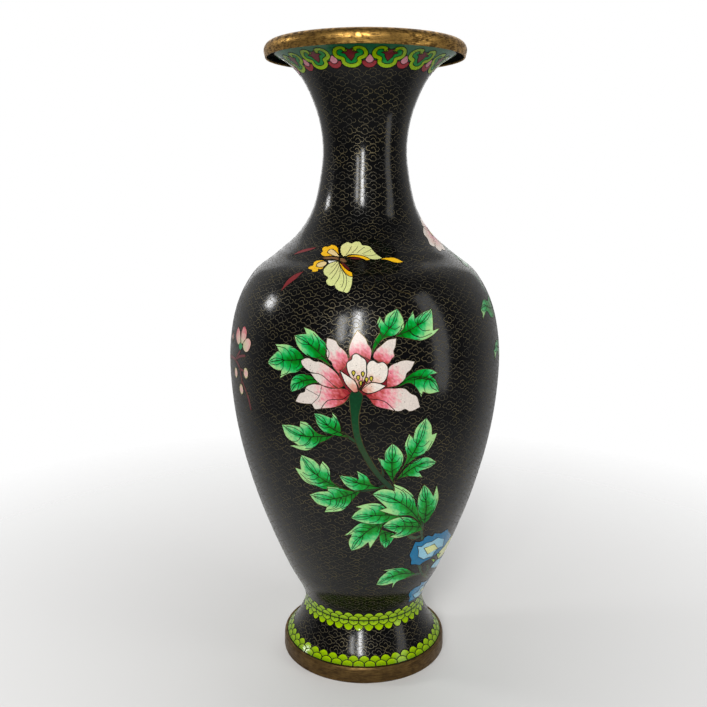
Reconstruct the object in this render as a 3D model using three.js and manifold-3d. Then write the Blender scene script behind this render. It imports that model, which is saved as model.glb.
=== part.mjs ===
// A cloisonne vase: a spun copper body in four soldered sections, covered with a skin of enamel
// whose flowers, leaves and butterfly are inlays let into a black ground, with an enamelled lining,
// a rolled brass lip and a turned brass foot ring.
// Millimetres, +Z up, standing on z = 0 with its axis on Z. The front, with the peony, faces -Y.
import * as THREE from "three";
import { mergeVertices } from "three/addons/utils/BufferGeometryUtils.js";
import Module from "manifold-3d";

const wasm = await Module();
wasm.setup();

// Driving dimensions.
const SIDES = 28; // flat sides of every round piece; a multiple of 4, so corners fall on X and Y
const ENAMEL = 1.0; // thickness of the outer enamel
const COPPER = 1.2; // wall of the spun copper
const LINING = 0.6; // thickness of the enamel inside
const GAP = 0.3; // clearance left between neighbouring pieces

// Heights where the copper sections are soldered together, and where the layers start and end.
const SKIN_BOTTOM = 10.4;
const WAIST = 34;
const BELLY = 190;
const NECK_BASE = 284;
const SKIN_TOP = 374.7;

// Heights where the borders end on the enamel skin.
const BASE_BORDER_TOP = 20;
const FOOT_BORDER_BOTTOM = 26;
const WAIST_BORDER_TOP = 46;
const LIP_BORDER_BOTTOM = 362;

// Outer outline of the enamel as [radius, height], from the foot to the flare of the mouth.
const OUTLINE = [
  [52.8, 8.5],
  [46.2, 16],
  [40.9, 26],
  [38.7, WAIST],
  [41.6, 44],
  [50, 60],
  [60.2, 84],
  [70.2, 112],
  [78.4, 143],
  [83, 173],
  [83.8, 202],
  [79.2, 228],
  [68.7, 248],
  [54.2, 260],
  [40.7, 272],
  [31.6, 287],
  [26.9, 307],
  [25.7, 324],
  [28.8, 342],
  [36.6, 360],
  [45.6, 370.2],
  [56.8, 376.2],
];

// Heights of the rings of corners that every layer of the wall shares, so the layers stay parallel.
const STATIONS = [
  SKIN_BOTTOM, 14, BASE_BORDER_TOP, FOOT_BORDER_BOTTOM, WAIST,
  WAIST_BORDER_TOP, 60, 80, 102, 128, 158, BELLY,
  212, 230, 243, 255, 267, NECK_BASE,
  304, 326, 346, LIP_BORDER_BOTTOM, 370, SKIN_TOP,
];

// Depths of the layers below the outer face of the enamel.
const COPPER_OUT = ENAMEL + GAP;
const COPPER_IN = COPPER_OUT + COPPER;
const LINING_OUT = COPPER_IN + GAP;
const LINING_IN = LINING_OUT + LINING;

// Finishes.
const COPPER_SHEET = { color: 0x9a5b3a, roughness: 0.45, metalness: 1 };
const BRASS = { color: 0x8a6a3a, roughness: 0.38, metalness: 1 };
const BLACK_ENAMEL = { color: 0x0b0c0e, roughness: 0.12, metalness: 0 };
const TURQUOISE_ENAMEL = { color: 0x2f8f96, roughness: 0.2, metalness: 0 };
const LIME_ENAMEL = { color: 0xa5c800, roughness: 0.15, metalness: 0 };
const GREEN_ENAMEL = { color: 0x1f7a45, roughness: 0.15, metalness: 0 };
const MINT_ENAMEL = { color: 0x46be6e, roughness: 0.15, metalness: 0 };
const BROWN_ENAMEL = { color: 0x4a3a22, roughness: 0.2, metalness: 0 };
const PINK_ENAMEL = { color: 0xe67890, roughness: 0.15, metalness: 0 };
const RED_ENAMEL = { color: 0x9a1420, roughness: 0.15, metalness: 0 };
const YELLOW_ENAMEL = { color: 0xf0c428, roughness: 0.15, metalness: 0 };
const CREAM_ENAMEL = { color: 0xe2e6b4, roughness: 0.15, metalness: 0 };
const BLUE_ENAMEL = { color: 0x007da5, roughness: 0.15, metalness: 0 };

// Shared tools.
const vase = new THREE.Group();
vase.name = "cloisonne_vase";

const degrees = (angle) => THREE.MathUtils.degToRad(angle);

function addPiece(name, geometry, finish) {
  const mesh = new THREE.Mesh(geometry, new THREE.MeshStandardMaterial(finish));
  mesh.name = name;
  vase.add(mesh);
}

// Turns a closed outline in [radius, height] about the Z axis.
function turned(points) {
  const closed = [...points, points[0]].map(([radius, height]) => new THREE.Vector2(radius, height));
  return new THREE.LatheGeometry(closed, SIDES).rotateX(Math.PI / 2);
}

function solidFrom(geometry) {
  const bare = geometry.clone();
  bare.deleteAttribute("normal");
  bare.deleteAttribute("uv");
  const merged = mergeVertices(bare, 1e-4);
  const vertProperties = merged.attributes.position.array;
  const triVerts = new Uint32Array(merged.index.array);
  return new wasm.Manifold(new wasm.Mesh({ numProp: 3, vertProperties, triVerts }));
}

function geometryFrom(solid) {
  const mesh = solid.getMesh();
  const geometry = new THREE.BufferGeometry();
  geometry.setAttribute("position", new THREE.BufferAttribute(mesh.vertProperties, 3));
  geometry.setIndex(new THREE.BufferAttribute(mesh.triVerts, 1));
  geometry.computeVertexNormals();
  return geometry;
}

// The wall: every layer follows the outline at its own depth.
const outline = new THREE.SplineCurve(OUTLINE.map(([radius, height]) => new THREE.Vector2(radius, height)));
const OUTLINE_STEPS = 1200;
const outlineSamples = outline.getPoints(OUTLINE_STEPS);

function radiusAt(height) {
  const above = outlineSamples.findIndex((point) => point.y >= height);
  const a = outlineSamples[above - 1];
  const b = outlineSamples[above];
  return THREE.MathUtils.mapLinear(height, a.y, b.y, a.x, b.x);
}

const corners = STATIONS.map((height) => new THREE.Vector2(radiusAt(height), height));

// Outward normals of the stretches between corners.
const normals = corners.slice(1).map((corner, i) => {
  const along = corner.clone().sub(corners[i]).normalize();
  return new THREE.Vector2(along.y, -along.x);
});

// Where a corner lies in a layer at some depth: the mitre of the two stretches that meet there.
function cornerAt(index, depth) {
  const before = normals[Math.max(index - 1, 0)];
  const after = normals[Math.min(index, normals.length - 1)];
  const mitre = before.clone().add(after);
  const reach = depth / (0.5 * mitre.lengthSq());
  return corners[index].clone().addScaledVector(mitre, -reach);
}

// A point of a layer, named by the height of the outer face that it lies under.
function layerPoint(height, depth) {
  const index = Math.min(
    STATIONS.findLastIndex((station) => station <= height),
    STATIONS.length - 2,
  );
  const share = (height - STATIONS[index]) / (STATIONS[index + 1] - STATIONS[index]);
  const point = cornerAt(index, depth).lerp(cornerAt(index + 1, depth), share);
  return [point.x, point.y];
}

// A band of one layer, from one height to another and from its outer to its inner depth.
function band(bottom, top, outerDepth, innerDepth) {
  const between = STATIONS.filter((station) => station > bottom && station < top);
  const heights = [bottom, ...between, top];
  const up = heights.map((height) => layerPoint(height, outerDepth));
  const down = heights.map((height) => layerPoint(height, innerDepth)).reverse();
  return turned([...up, ...down]);
}

// Half of the seam that parts two bands of a layer.
const SEAM = GAP / 2;

// Copper body: four spun sections, soldered at the waist, the belly and the base of the neck.
const SECTIONS = [
  ["foot", SKIN_BOTTOM, WAIST - SEAM],
  ["belly", WAIST + SEAM, BELLY - SEAM],
  ["shoulder", BELLY + SEAM, NECK_BASE - SEAM],
  ["neck", NECK_BASE + SEAM, SKIN_TOP],
];
for (const [name, bottom, top] of SECTIONS) {
  addPiece("copper_" + name, band(bottom, top, COPPER_OUT, COPPER_IN), COPPER_SHEET);
}

// Lining: counter enamel inside each section, which keeps the copper from warping in the kiln.
for (const [name, bottom, top] of SECTIONS) {
  addPiece("lining_" + name, band(bottom, top, LINING_OUT, LINING_IN), TURQUOISE_ENAMEL);
}

// Enamel skin outside: bands of ground and borders, from the foot up.
const SKIN_BANDS = [
  ["scale_border_base", SKIN_BOTTOM, BASE_BORDER_TOP - SEAM, LIME_ENAMEL],
  ["ground_foot", BASE_BORDER_TOP + SEAM, FOOT_BORDER_BOTTOM - SEAM, BLACK_ENAMEL],
  ["scale_border_foot", FOOT_BORDER_BOTTOM + SEAM, WAIST - SEAM, LIME_ENAMEL],
  ["scale_border_waist", WAIST + SEAM, WAIST_BORDER_TOP - SEAM, LIME_ENAMEL],
  ["ground_neck", NECK_BASE + SEAM, LIP_BORDER_BOTTOM - SEAM, BLACK_ENAMEL],
  ["ruyi_border", LIP_BORDER_BOTTOM + SEAM, SKIN_TOP, GREEN_ENAMEL],
];
for (const [name, bottom, top, finish] of SKIN_BANDS) {
  addPiece(name, band(bottom, top, 0, ENAMEL), finish);
}

// Inlays: each is an outline on the body as [degrees round the axis from the front, height], with
// degrees growing to the right as the vase is seen. Where two outlines cross, the first one is in front.
const PEONY_PETALS = [
  [-14, 221], [-8, 214], [-2, 226], [2.5, 214.5], [12, 221], [9.5, 206], [19.5, 208],
  [9.5, 194], [22, 184], [12, 179], [0, 186], [-9, 178], [-27, 184], [-20, 192],
  [-25, 207], [-13, 207],
];
const PEONY_HEART = [[-7.5, 204], [-2, 211], [5.5, 207.5], [8, 200], [3, 193], [-4, 194]];
const PEONY_STEM = [
  [-2, 190], [-4.4, 176], [-4, 163], [0, 151.5], [4.5, 142], [9.5, 134],
  [12.5, 135], [7.5, 144], [2.8, 153], [-0.8, 164], [-1.2, 176], [1.5, 190],
];
const FLOWER_LEAVES_LEFT = [
  [-11, 205], [-14.5, 217], [-20.5, 225.5], [-29, 220.5], [-27, 213],
  [-36.5, 213.5], [-40, 203.5], [-34, 197.5], [-31, 189.5], [-14, 192],
];
const FLOWER_LEAVES_TOP = [
  [2, 208], [4.5, 225], [12.8, 235], [18, 229], [27.5, 234.5], [33, 226],
  [26, 219.5], [14, 216],
];
const FLOWER_LEAVES_RIGHT = [[8, 197], [17, 202], [27, 204], [32, 196], [31.5, 188], [22, 187.5], [12, 191]];
const STEM_LEAVES_UPPER = [
  [-3.2, 161], [-8.5, 169], [-13, 176.5], [-19.5, 179], [-22, 174.5], [-34.5, 170.5],
  [-30.5, 158], [-23, 155.5], [-13, 160],
];
const STEM_LEAVES_MIDDLE = [
  [9.5, 135.5], [-3, 147], [-10, 143.5], [-17, 152], [-26.5, 153.5], [-30.5, 144.5],
  [-23, 134], [-25.5, 127], [-18.5, 117.5], [-9, 121], [-3, 132],
];
const STEM_LEAVES_RIGHT = [
  [10, 136], [4.5, 153], [11.5, 163], [16.5, 161.5], [24.5, 175], [30.5, 165.5],
  [25.5, 156], [31.5, 147.5], [24, 139],
];
const LOWER_LEAVES = [
  [30, 109], [26, 100.5], [17, 99], [11, 93], [3, 92.5], [-6.5, 91], [-10.5, 102], [-5.5, 114],
  [-4, 123], [4, 131.5], [12, 137.5], [22, 131.5], [26.5, 135.5], [34.5, 132.5], [34.5, 117],
];
const BLUE_FLOWER_HEART = [[36, 87], [43.5, 89], [49, 83], [41, 79.5]];
const BLUE_FLOWER = [
  [27, 85], [28.5, 94], [43, 96], [53, 97], [62, 88], [54, 79], [38, 74.5], [30.5, 77],
];
const BLUE_FLOWER_LEAF = [[34, 71], [27, 75], [12, 74.5], [6, 65], [19, 60], [33, 66]];
const SMALL_BLUE_FLOWER = [[38, 50], [48, 57], [60, 55], [64, 48], [56, 41], [44, 42]];
const BUTTERFLY_BODY = [[-27, 261], [-26, 259], [-9, 257.6], [-9, 260.6]];
const BUTTERFLY_UPPER_WINGS = [[-30, 264], [-24, 268], [-15.5, 266.5], [-6, 269.5], [8, 265], [21, 258], [-9, 258.5], [-27, 260]];
const BUTTERFLY_LOWER_WINGS = [[-31, 254.5], [-26, 260], [-9, 259], [-6, 252], [-6, 244.5], [-13, 246], [-20, 252]];
const PLUM_BLOSSOM = [[-66, 214], [-65, 220], [-59, 222], [-56, 216], [-51, 212.5], [-53, 206.5], [-60, 207], [-64, 209]];
const PLUM_BRANCH = [[-56, 206], [-60, 208.5], [-70, 200.5], [-61, 186], [-57, 165], [-54, 165], [-57, 186], [-64, 199]];
const PINK_FLOWER = [[66, 268], [74, 275], [84, 272], [86, 260], [78, 255], [68, 257]];
const MINT_LEAF = [[57, 224], [63, 236], [73, 236], [78, 225], [72, 214], [64, 216]];
const BACK_PEONY_PETALS = [
  [180, 214], [166, 209], [160, 194], [166, 180], [180, 174], [194, 180], [200, 194], [194, 209],
];
const BACK_PEONY_LEAVES = [[150, 190], [163, 204], [172, 182], [163, 164], [176, 150], [160, 142], [146, 156], [140, 174]];
const BACK_BRANCH = [[216, 226], [222, 224], [214, 196], [218, 160], [208, 120], [204, 122], [212, 160], [208, 196]];
const INLAYS = [
  ["peony_heart", PEONY_HEART, RED_ENAMEL],
  ["peony_petals", PEONY_PETALS, PINK_ENAMEL],
  ["peony_stem", PEONY_STEM, BROWN_ENAMEL],
  ["flower_leaves_left", FLOWER_LEAVES_LEFT, GREEN_ENAMEL],
  ["flower_leaves_top", FLOWER_LEAVES_TOP, GREEN_ENAMEL],
  ["flower_leaves_right", FLOWER_LEAVES_RIGHT, GREEN_ENAMEL],
  ["stem_leaves_upper", STEM_LEAVES_UPPER, MINT_ENAMEL],
  ["stem_leaves_middle", STEM_LEAVES_MIDDLE, MINT_ENAMEL],
  ["stem_leaves_right", STEM_LEAVES_RIGHT, MINT_ENAMEL],
  ["lower_leaves", LOWER_LEAVES, GREEN_ENAMEL],
  ["blue_flower_heart", BLUE_FLOWER_HEART, CREAM_ENAMEL],
  ["blue_flower", BLUE_FLOWER, BLUE_ENAMEL],
  ["blue_flower_leaf", BLUE_FLOWER_LEAF, GREEN_ENAMEL],
  ["small_blue_flower", SMALL_BLUE_FLOWER, BLUE_ENAMEL],
  ["butterfly_body", BUTTERFLY_BODY, BROWN_ENAMEL],
  ["butterfly_upper_wings", BUTTERFLY_UPPER_WINGS, CREAM_ENAMEL],
  ["butterfly_lower_wings", BUTTERFLY_LOWER_WINGS, YELLOW_ENAMEL],
  ["plum_blossom", PLUM_BLOSSOM, PINK_ENAMEL],
  ["plum_branch", PLUM_BRANCH, BROWN_ENAMEL],
  ["pink_flower", PINK_FLOWER, PINK_ENAMEL],
  ["mint_leaf", MINT_LEAF, MINT_ENAMEL],
  ["back_peony_petals", BACK_PEONY_PETALS, PINK_ENAMEL],
  ["back_peony_leaves", BACK_PEONY_LEAVES, GREEN_ENAMEL],
  ["back_branch", BACK_BRANCH, BROWN_ENAMEL],
];

// Pulls a flat outline in by some distance.
const SHARPEST = 2.2; // the longest reach at a sharp tip, in times the distance
function pulledIn(flat, distance) {
  return flat.map((point, i) => {
    const before = flat[(i + flat.length - 1) % flat.length];
    const after = flat[(i + 1) % flat.length];
    const arriving = point.clone().sub(before).normalize();
    const leaving = after.clone().sub(point).normalize();
    const mitre = new THREE.Vector2(-arriving.y - leaving.y, arriving.x + leaving.x).normalize();
    const reach = Math.min(1 / Math.abs(mitre.dot(new THREE.Vector2(-leaving.y, leaving.x))), SHARPEST);
    return point.clone().addScaledVector(mitre, distance * reach);
  });
}

// A cutter: the outline, pulled in by an inset, carried straight out from inside the skin to past it.
const CUTTER_NEAR = 0.85; // inner end, in times the smallest radius that the outline reaches
const CUTTER_PAST = 3; // how far the outer end stands past the skin
function cutter(points, inset) {
  const angles = points.map(([angle]) => angle);
  const radii = points.map(([, height]) => radiusAt(height));
  const halfSpan = degrees(Math.max(...angles) - Math.min(...angles)) / 2;
  const near = CUTTER_NEAR * Math.min(...radii);
  const far = Math.max(...radii) / Math.cos(halfSpan) + CUTTER_PAST;
  const perDegree = degrees(radii.reduce((a, b) => a + b) / radii.length);
  const outer = points.map(([angle, height]) => new THREE.Vector2(angle * perDegree, height));
  if (THREE.ShapeUtils.isClockWise(outer)) outer.reverse();
  const flat = pulledIn(outer, inset);
  const count = flat.length;
  const positions = [];
  for (const radius of [near, far]) {
    for (const { x, y } of flat) {
      const angle = degrees(x / perDegree);
      positions.push(radius * Math.sin(angle), -radius * Math.cos(angle), y);
    }
  }
  const index = [];
  for (const [a, b, c] of THREE.ShapeUtils.triangulateShape(flat, [])) {
    index.push(a, c, b, a + count, b + count, c + count);
  }
  for (let i = 0; i < count; i += 1) {
    const next = (i + 1) % count;
    index.push(i, next, next + count, i, next + count, i + count);
  }
  const geometry = new THREE.BufferGeometry();
  geometry.setAttribute("position", new THREE.Float32BufferAttribute(positions, 3));
  geometry.setIndex(index);
  return solidFrom(geometry);
}

// The largest body of a solid, which drops the crumbs that two crossing outlines can leave.
function largest(solid) {
  return solid.decompose().reduce((a, b) => (b.volume() > a.volume() ? b : a));
}

const bodySkin = solidFrom(band(WAIST_BORDER_TOP + SEAM, NECK_BASE - SEAM, 0, ENAMEL));
let ground = bodySkin;
let taken = null;
for (const [name, points, finish] of INLAYS) {
  const hole = cutter(points, 0);
  let inlay = bodySkin.intersect(cutter(points, GAP));
  if (taken) inlay = inlay.subtract(taken);
  taken = taken ? taken.add(hole) : hole;
  ground = ground.subtract(hole);
  addPiece(name, geometryFrom(largest(inlay)), finish);
}
addPiece("ground_body", geometryFrom(largest(ground)), BLACK_ENAMEL);

// Brass lip: a strip rolled over the edge of the mouth, open underneath like a gutter.
const LIP_CENTRE = [54.6, 376.7];
const LIP_RADIUS = 4.9;
const LIP_WALL = 0.9;
const LIP_START = -20; // degrees, where the roll leaves the apron
const LIP_END = 140; // degrees, where it closes on the lining
const LIP_STEPS = 6;
const APRON_HEIGHT = 372.8;
const APRON_RADIUS = 58.7;
function arc([x, y], radius, from, to, steps) {
  return Array.from({ length: steps + 1 }, (_, i) => {
    const angle = degrees(from + ((to - from) * i) / steps);
    return [x + radius * Math.cos(angle), y + radius * Math.sin(angle)];
  });
}
addPiece(
  "brass_lip",
  turned([
    [APRON_RADIUS, APRON_HEIGHT],
    ...arc(LIP_CENTRE, LIP_RADIUS, LIP_START, LIP_END, LIP_STEPS),
    ...arc(LIP_CENTRE, LIP_RADIUS - LIP_WALL, LIP_END, LIP_START, LIP_STEPS),
    [APRON_RADIUS - LIP_WALL, APRON_HEIGHT],
  ]),
  BRASS,
);

// Brass foot ring: turned, with eased edges, and a sloping seat inside for the foot.
const RING_OUT = 53;
const RING_IN = 48.6;
const RING_HEIGHT = 10.1;
const RING_EASE = 0.8;
addPiece(
  "brass_foot_ring",
  turned([
    [RING_IN, 0],
    [RING_OUT - RING_EASE, 0],
    [RING_OUT, RING_EASE],
    [RING_OUT, RING_HEIGHT - RING_EASE],
    [RING_OUT - RING_EASE, RING_HEIGHT],
    [51.3, RING_HEIGHT],
    [RING_IN, 7.6],
  ]),
  BRASS,
);

// Base: a copper plate soldered inside the ring, enamelled on both faces.
const PLATE_RADIUS = RING_IN - 0.4;
const PLATE_BOTTOM = 5.2;
function disc(bottom, thickness, radius) {
  const top = bottom + thickness;
  const points = [[0, bottom], [radius, bottom], [radius, top], [0, top]];
  return new THREE.LatheGeometry(
    points.map(([x, y]) => new THREE.Vector2(x, y)),
    SIDES,
  ).rotateX(Math.PI / 2);
}
addPiece("copper_base_plate", disc(PLATE_BOTTOM, COPPER, PLATE_RADIUS), COPPER_SHEET);
addPiece("base_counter_enamel", disc(PLATE_BOTTOM - GAP - LINING, LINING, PLATE_RADIUS), TURQUOISE_ENAMEL);
const FLOOR_RADIUS = PLATE_RADIUS - 0.9;
addPiece("lining_floor", disc(PLATE_BOTTOM + COPPER + GAP, LINING, FLOOR_RADIUS), TURQUOISE_ENAMEL);

export default vase;
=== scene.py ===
"""A cloisonne vase, 382 mm tall: a spun copper body in four soldered sections, enamelled inside and out.

Brass wires, bent to the outlines of flowers, leaves, clouds and scales, stand on the copper. Ground glass
is fired between them and polished flush, so every motif is a set of flat glassy cells between wires.
Lengths are in millimetres until a mesh is made, and the front, with the peony, faces -Y.
"""
import math

import bpy
import numpy as np
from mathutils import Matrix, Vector
from mathutils.geometry import delaunay_2d_cdt


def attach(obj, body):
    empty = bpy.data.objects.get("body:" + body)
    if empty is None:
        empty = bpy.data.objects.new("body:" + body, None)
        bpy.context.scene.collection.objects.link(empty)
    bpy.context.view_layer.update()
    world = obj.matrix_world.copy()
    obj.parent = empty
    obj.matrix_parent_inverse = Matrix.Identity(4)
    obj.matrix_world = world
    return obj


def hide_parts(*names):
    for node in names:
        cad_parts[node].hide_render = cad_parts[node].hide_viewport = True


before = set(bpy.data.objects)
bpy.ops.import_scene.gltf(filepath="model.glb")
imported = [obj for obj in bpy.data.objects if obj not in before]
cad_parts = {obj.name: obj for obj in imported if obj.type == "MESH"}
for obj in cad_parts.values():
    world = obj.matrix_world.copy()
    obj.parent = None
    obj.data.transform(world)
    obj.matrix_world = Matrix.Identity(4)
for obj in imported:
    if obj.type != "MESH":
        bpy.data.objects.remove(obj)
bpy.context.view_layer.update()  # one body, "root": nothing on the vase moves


# ---- Brass foot ring -------------------------------------------------------------------------------
# A ring turned from brass bar, with eased edges, soldered round the foot. Handling and polish have left
# it dark brown, with the brass showing through where it rubs.
MM = 0.001
TURNS = 288  # steps round every turned piece
EASE_STEPS = 4  # steps round each eased edge
EASE_ROOM = 0.45  # an eased edge takes at most this share of the shorter side beside it
SHARP_ANGLE = 35  # degrees: an edge between faces that turn by more than this stays sharp


def grid_faces(rows, columns, close_rows, close_columns):
    """Quads between neighbours of a grid of points, numbered row by row; they face along row x column."""
    i = np.arange(rows if close_rows else rows - 1)
    j = np.arange(columns if close_columns else columns - 1)
    i, j = np.meshgrid(i, j, indexing="ij")
    up, across = (i + 1) % rows, (j + 1) % columns
    corners = (i * columns + j, up * columns + j, up * columns + across, i * columns + across)
    return np.stack(corners, -1).reshape(-1, 4)


def lathe(profile):
    """Turns a closed profile of (radius, height) about Z: x = r sin a, y = -r cos a, for equal steps of a."""
    angle = np.arange(TURNS) * (2 * np.pi / TURNS)
    radius, height = np.asarray(profile, float).T
    x = np.outer(np.sin(angle), radius)
    y = -np.outer(np.cos(angle), radius)
    z = np.broadcast_to(height, x.shape)
    points = np.stack([x, y, z], -1).reshape(-1, 3)
    return points, [grid_faces(TURNS, len(radius), True, True)]


def eased(profile, ease):
    """Rounds each corner of a closed profile: a quadratic curve from `ease` before it to `ease` past it."""
    corner = np.asarray(profile, float)
    before = np.roll(corner, 1, 0) - corner
    after = np.roll(corner, -1, 0) - corner
    room = np.minimum(np.linalg.norm(before, axis=1), np.linalg.norm(after, axis=1))
    reach = np.minimum(ease, EASE_ROOM * room)[:, None]
    start = corner + reach * before / np.linalg.norm(before, axis=1)[:, None]
    end = corner + reach * after / np.linalg.norm(after, axis=1)[:, None]
    t = np.linspace(0, 1, EASE_STEPS)[None, :, None]
    curve = (1 - t) ** 2 * start[:, None] + 2 * t * (1 - t) * corner[:, None] + t**2 * end[:, None]
    return curve.reshape(-1, 2)


def add_piece(name, shape, material, replaced, colours=None):
    """Makes an object of points in mm and lists of faces, which rides on the vase for its CAD nodes."""
    points, faces = shape
    corners = np.concatenate([part.ravel() for part in faces]).astype(np.int32)
    sizes = np.concatenate([np.full(len(part), part.shape[1]) for part in faces])
    mesh = bpy.data.meshes.new(name)
    mesh.vertices.add(len(points))
    mesh.vertices.foreach_set("co", (np.asarray(points) * MM).astype(np.float32).ravel())
    mesh.loops.add(len(corners))
    mesh.loops.foreach_set("vertex_index", corners)
    mesh.polygons.add(len(sizes))
    mesh.polygons.foreach_set("loop_start", np.append(0, np.cumsum(sizes)[:-1]).astype(np.int32))
    mesh.update(calc_edges=True)
    if colours is not None:
        glass = mesh.color_attributes.new("glass", "FLOAT_COLOR", "POINT")
        opaque = np.concatenate([colours, np.ones((len(colours), 1))], 1)
        glass.data.foreach_set("color", opaque.astype(np.float32).ravel())
    mesh.shade_smooth()
    mesh.set_sharp_from_angle(angle=math.radians(SHARP_ANGLE))
    mesh.materials.append(material)
    piece = bpy.data.objects.new(name, mesh)
    bpy.context.scene.collection.objects.link(piece)
    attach(piece, "root")
    if replaced:
        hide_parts(*replaced)


def linear(colour):
    """An sRGB hex colour as linear red, green, blue."""
    srgb = np.array([colour >> 16 & 255, colour >> 8 & 255, colour & 255]) / 255
    return np.where(srgb <= 0.04045, srgb / 12.92, ((srgb + 0.055) / 1.055) ** 2.4)


def rgba(colour):
    """The same linear colour with full alpha, as a shader socket takes it."""
    return (*linear(colour), 1)


def node(material, kind, inputs=(), **settings):
    """Adds a node, sets its properties, and fills its inputs, each given as (socket, value or output)."""
    made = material.node_tree.nodes.new("ShaderNode" + kind)
    for name, value in settings.items():
        setattr(made, name, value)
    for socket, value in inputs:
        if isinstance(value, bpy.types.NodeSocket):
            material.node_tree.links.new(value, made.inputs[socket])
        else:
            made.inputs[socket].default_value = value
    return made


def new_material(name, inputs):
    """A material whose Principled shader has constant inputs, which later nodes add to."""
    material = bpy.data.materials.new(name)
    material.use_nodes = True
    shader = material.node_tree.nodes["Principled BSDF"]
    for socket, value in inputs:
        shader.inputs[socket].default_value = value
    return material


def link(material, output, socket):
    """Joins an output to a socket of the material's Principled shader."""
    material.node_tree.links.new(output, material.node_tree.nodes["Principled BSDF"].inputs[socket])


MIX_A, MIX_B, MIX_OUT = 6, 7, 2  # the colour sockets of a Mix node


def patinated_brass(name, dark, bright, rubbed, patch_mm, streak_mm, roughness):
    """Brass under a patina: bright metal shows in patches and in fine streaks that run round the ring."""
    material = new_material(name, [("Metallic", 1.0), ("Roughness", roughness)])
    place = node(material, "TexCoord").outputs["Object"]
    patches = node(
        material, "TexNoise",
        [("Vector", place), ("Scale", 1 / (patch_mm * MM)), ("Detail", 6.0), ("Roughness", 0.65)],
    )
    drawn_out = node(material, "Mapping", [("Vector", place), ("Scale", (1, 1, 9))])
    streaks = node(
        material, "TexNoise",
        [("Vector", drawn_out.outputs["Vector"]), ("Scale", 1 / (streak_mm * MM)), ("Detail", 4.0)],
    )
    both = node(
        material, "Math",
        [(0, patches.outputs["Fac"]), (1, streaks.outputs["Fac"])], operation="ADD",
    )
    worn = node(
        material, "MapRange",
        [("Value", both.outputs[0]), ("From Min", rubbed[0]), ("From Max", rubbed[1])],
    )
    colour = node(
        material, "Mix",
        [(0, worn.outputs["Result"]), (MIX_A, rgba(dark)), (MIX_B, rgba(bright))], data_type="RGBA",
    )
    dull = node(
        material, "MapRange",
        [("Value", worn.outputs["Result"]), ("To Min", roughness + 0.14), ("To Max", roughness - 0.06)],
    )
    dents = node(
        material, "Bump",
        [("Height", both.outputs[0]), ("Strength", 0.35), ("Distance", 0.12 * MM)],
    )
    link(material, colour.outputs[MIX_OUT], "Base Color")
    link(material, dull.outputs["Result"], "Roughness")
    link(material, dents.outputs["Normal"], "Normal")
    return material


RING_OUT = 53
RING_IN = 48.6
RING_HEIGHT = 10.1
foot_profile = [
    (RING_IN, 0), (RING_OUT, 0), (RING_OUT - 0.25, RING_HEIGHT - 1.4),
    (RING_OUT - 0.9, RING_HEIGHT), (RING_OUT - 1.7, RING_HEIGHT), (RING_IN, 7.6),
]
# Turned brass with a dark brown patina: a soft, uneven shine with fine turning lines.
foot_brass = patinated_brass(
    "turned_brass_dark_patina", 0x4A3822, 0x7A6038, (0.8, 1.3), patch_mm=7, streak_mm=5, roughness=0.46,
)
add_piece("foot_ring", lathe(eased(foot_profile, 0.7)), foot_brass, ["brass_foot_ring"])


# ---- Base plate and its enamel ---------------------------------------------------------------------
# A copper disc soldered inside the ring. The kiln coats both of its faces with turquoise counter
# enamel, which keeps it flat.
PLATE_RADIUS = 48.2
PLATE_BOTTOM = 5.2
RIM_EASE = 0.2
INSIDE_RADIUS = PLATE_RADIUS - 0.9  # the enamel on the plate's upper face stops short of the wall
COPPER = 1.2  # thickness of the sheet
LINING = 0.6  # thickness of the enamel on it
GAP = 0.3


def disc(bottom, thickness, radius):
    """A flat disc with eased rims: a turned profile that reaches the axis, where its points are merged."""
    top = bottom + thickness
    inner = radius - RIM_EASE
    rim = [(inner, bottom), (radius, bottom + RIM_EASE), (radius, top - RIM_EASE), (inner, top)]
    points, (faces,) = lathe([(0, bottom), *rim, (0, top)])
    per_turn = len(rim) + 2
    pole = np.arange(len(points))
    pole[::per_turn] = 0
    pole[per_turn - 1 :: per_turn] = per_turn - 1
    faces = pole[faces]
    flat = faces.reshape(-1, per_turn, 4)
    under = flat[:, 0][:, [0, 2, 3]]
    over = flat[:, per_turn - 2][:, [0, 1, 2]]
    walls = flat[:, 1 : per_turn - 2].reshape(-1, 4)
    return drop_unused(points, [under, over, walls])


def drop_unused(points, faces):
    """Keeps only the points that faces use, numbered anew."""
    used, renumbered = np.unique(np.concatenate([part.ravel() for part in faces]), return_inverse=True)
    ends = np.cumsum([part.size for part in faces])[:-1]
    parts = np.split(renumbered, ends)
    return points[used], [part.reshape(-1, old.shape[1]) for part, old in zip(parts, faces)]


# Copper as it comes from the kiln: warm brown-pink with grey scale, dull.
kiln_copper = patinated_brass(
    "kiln_copper_dull", 0x5A3A2C, 0xB87452, (0.85, 1.2), patch_mm=14, streak_mm=8, roughness=0.5,
)
add_piece(
    "base_plate", disc(PLATE_BOTTOM, COPPER, PLATE_RADIUS), kiln_copper, ["copper_base_plate"],
)


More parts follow.
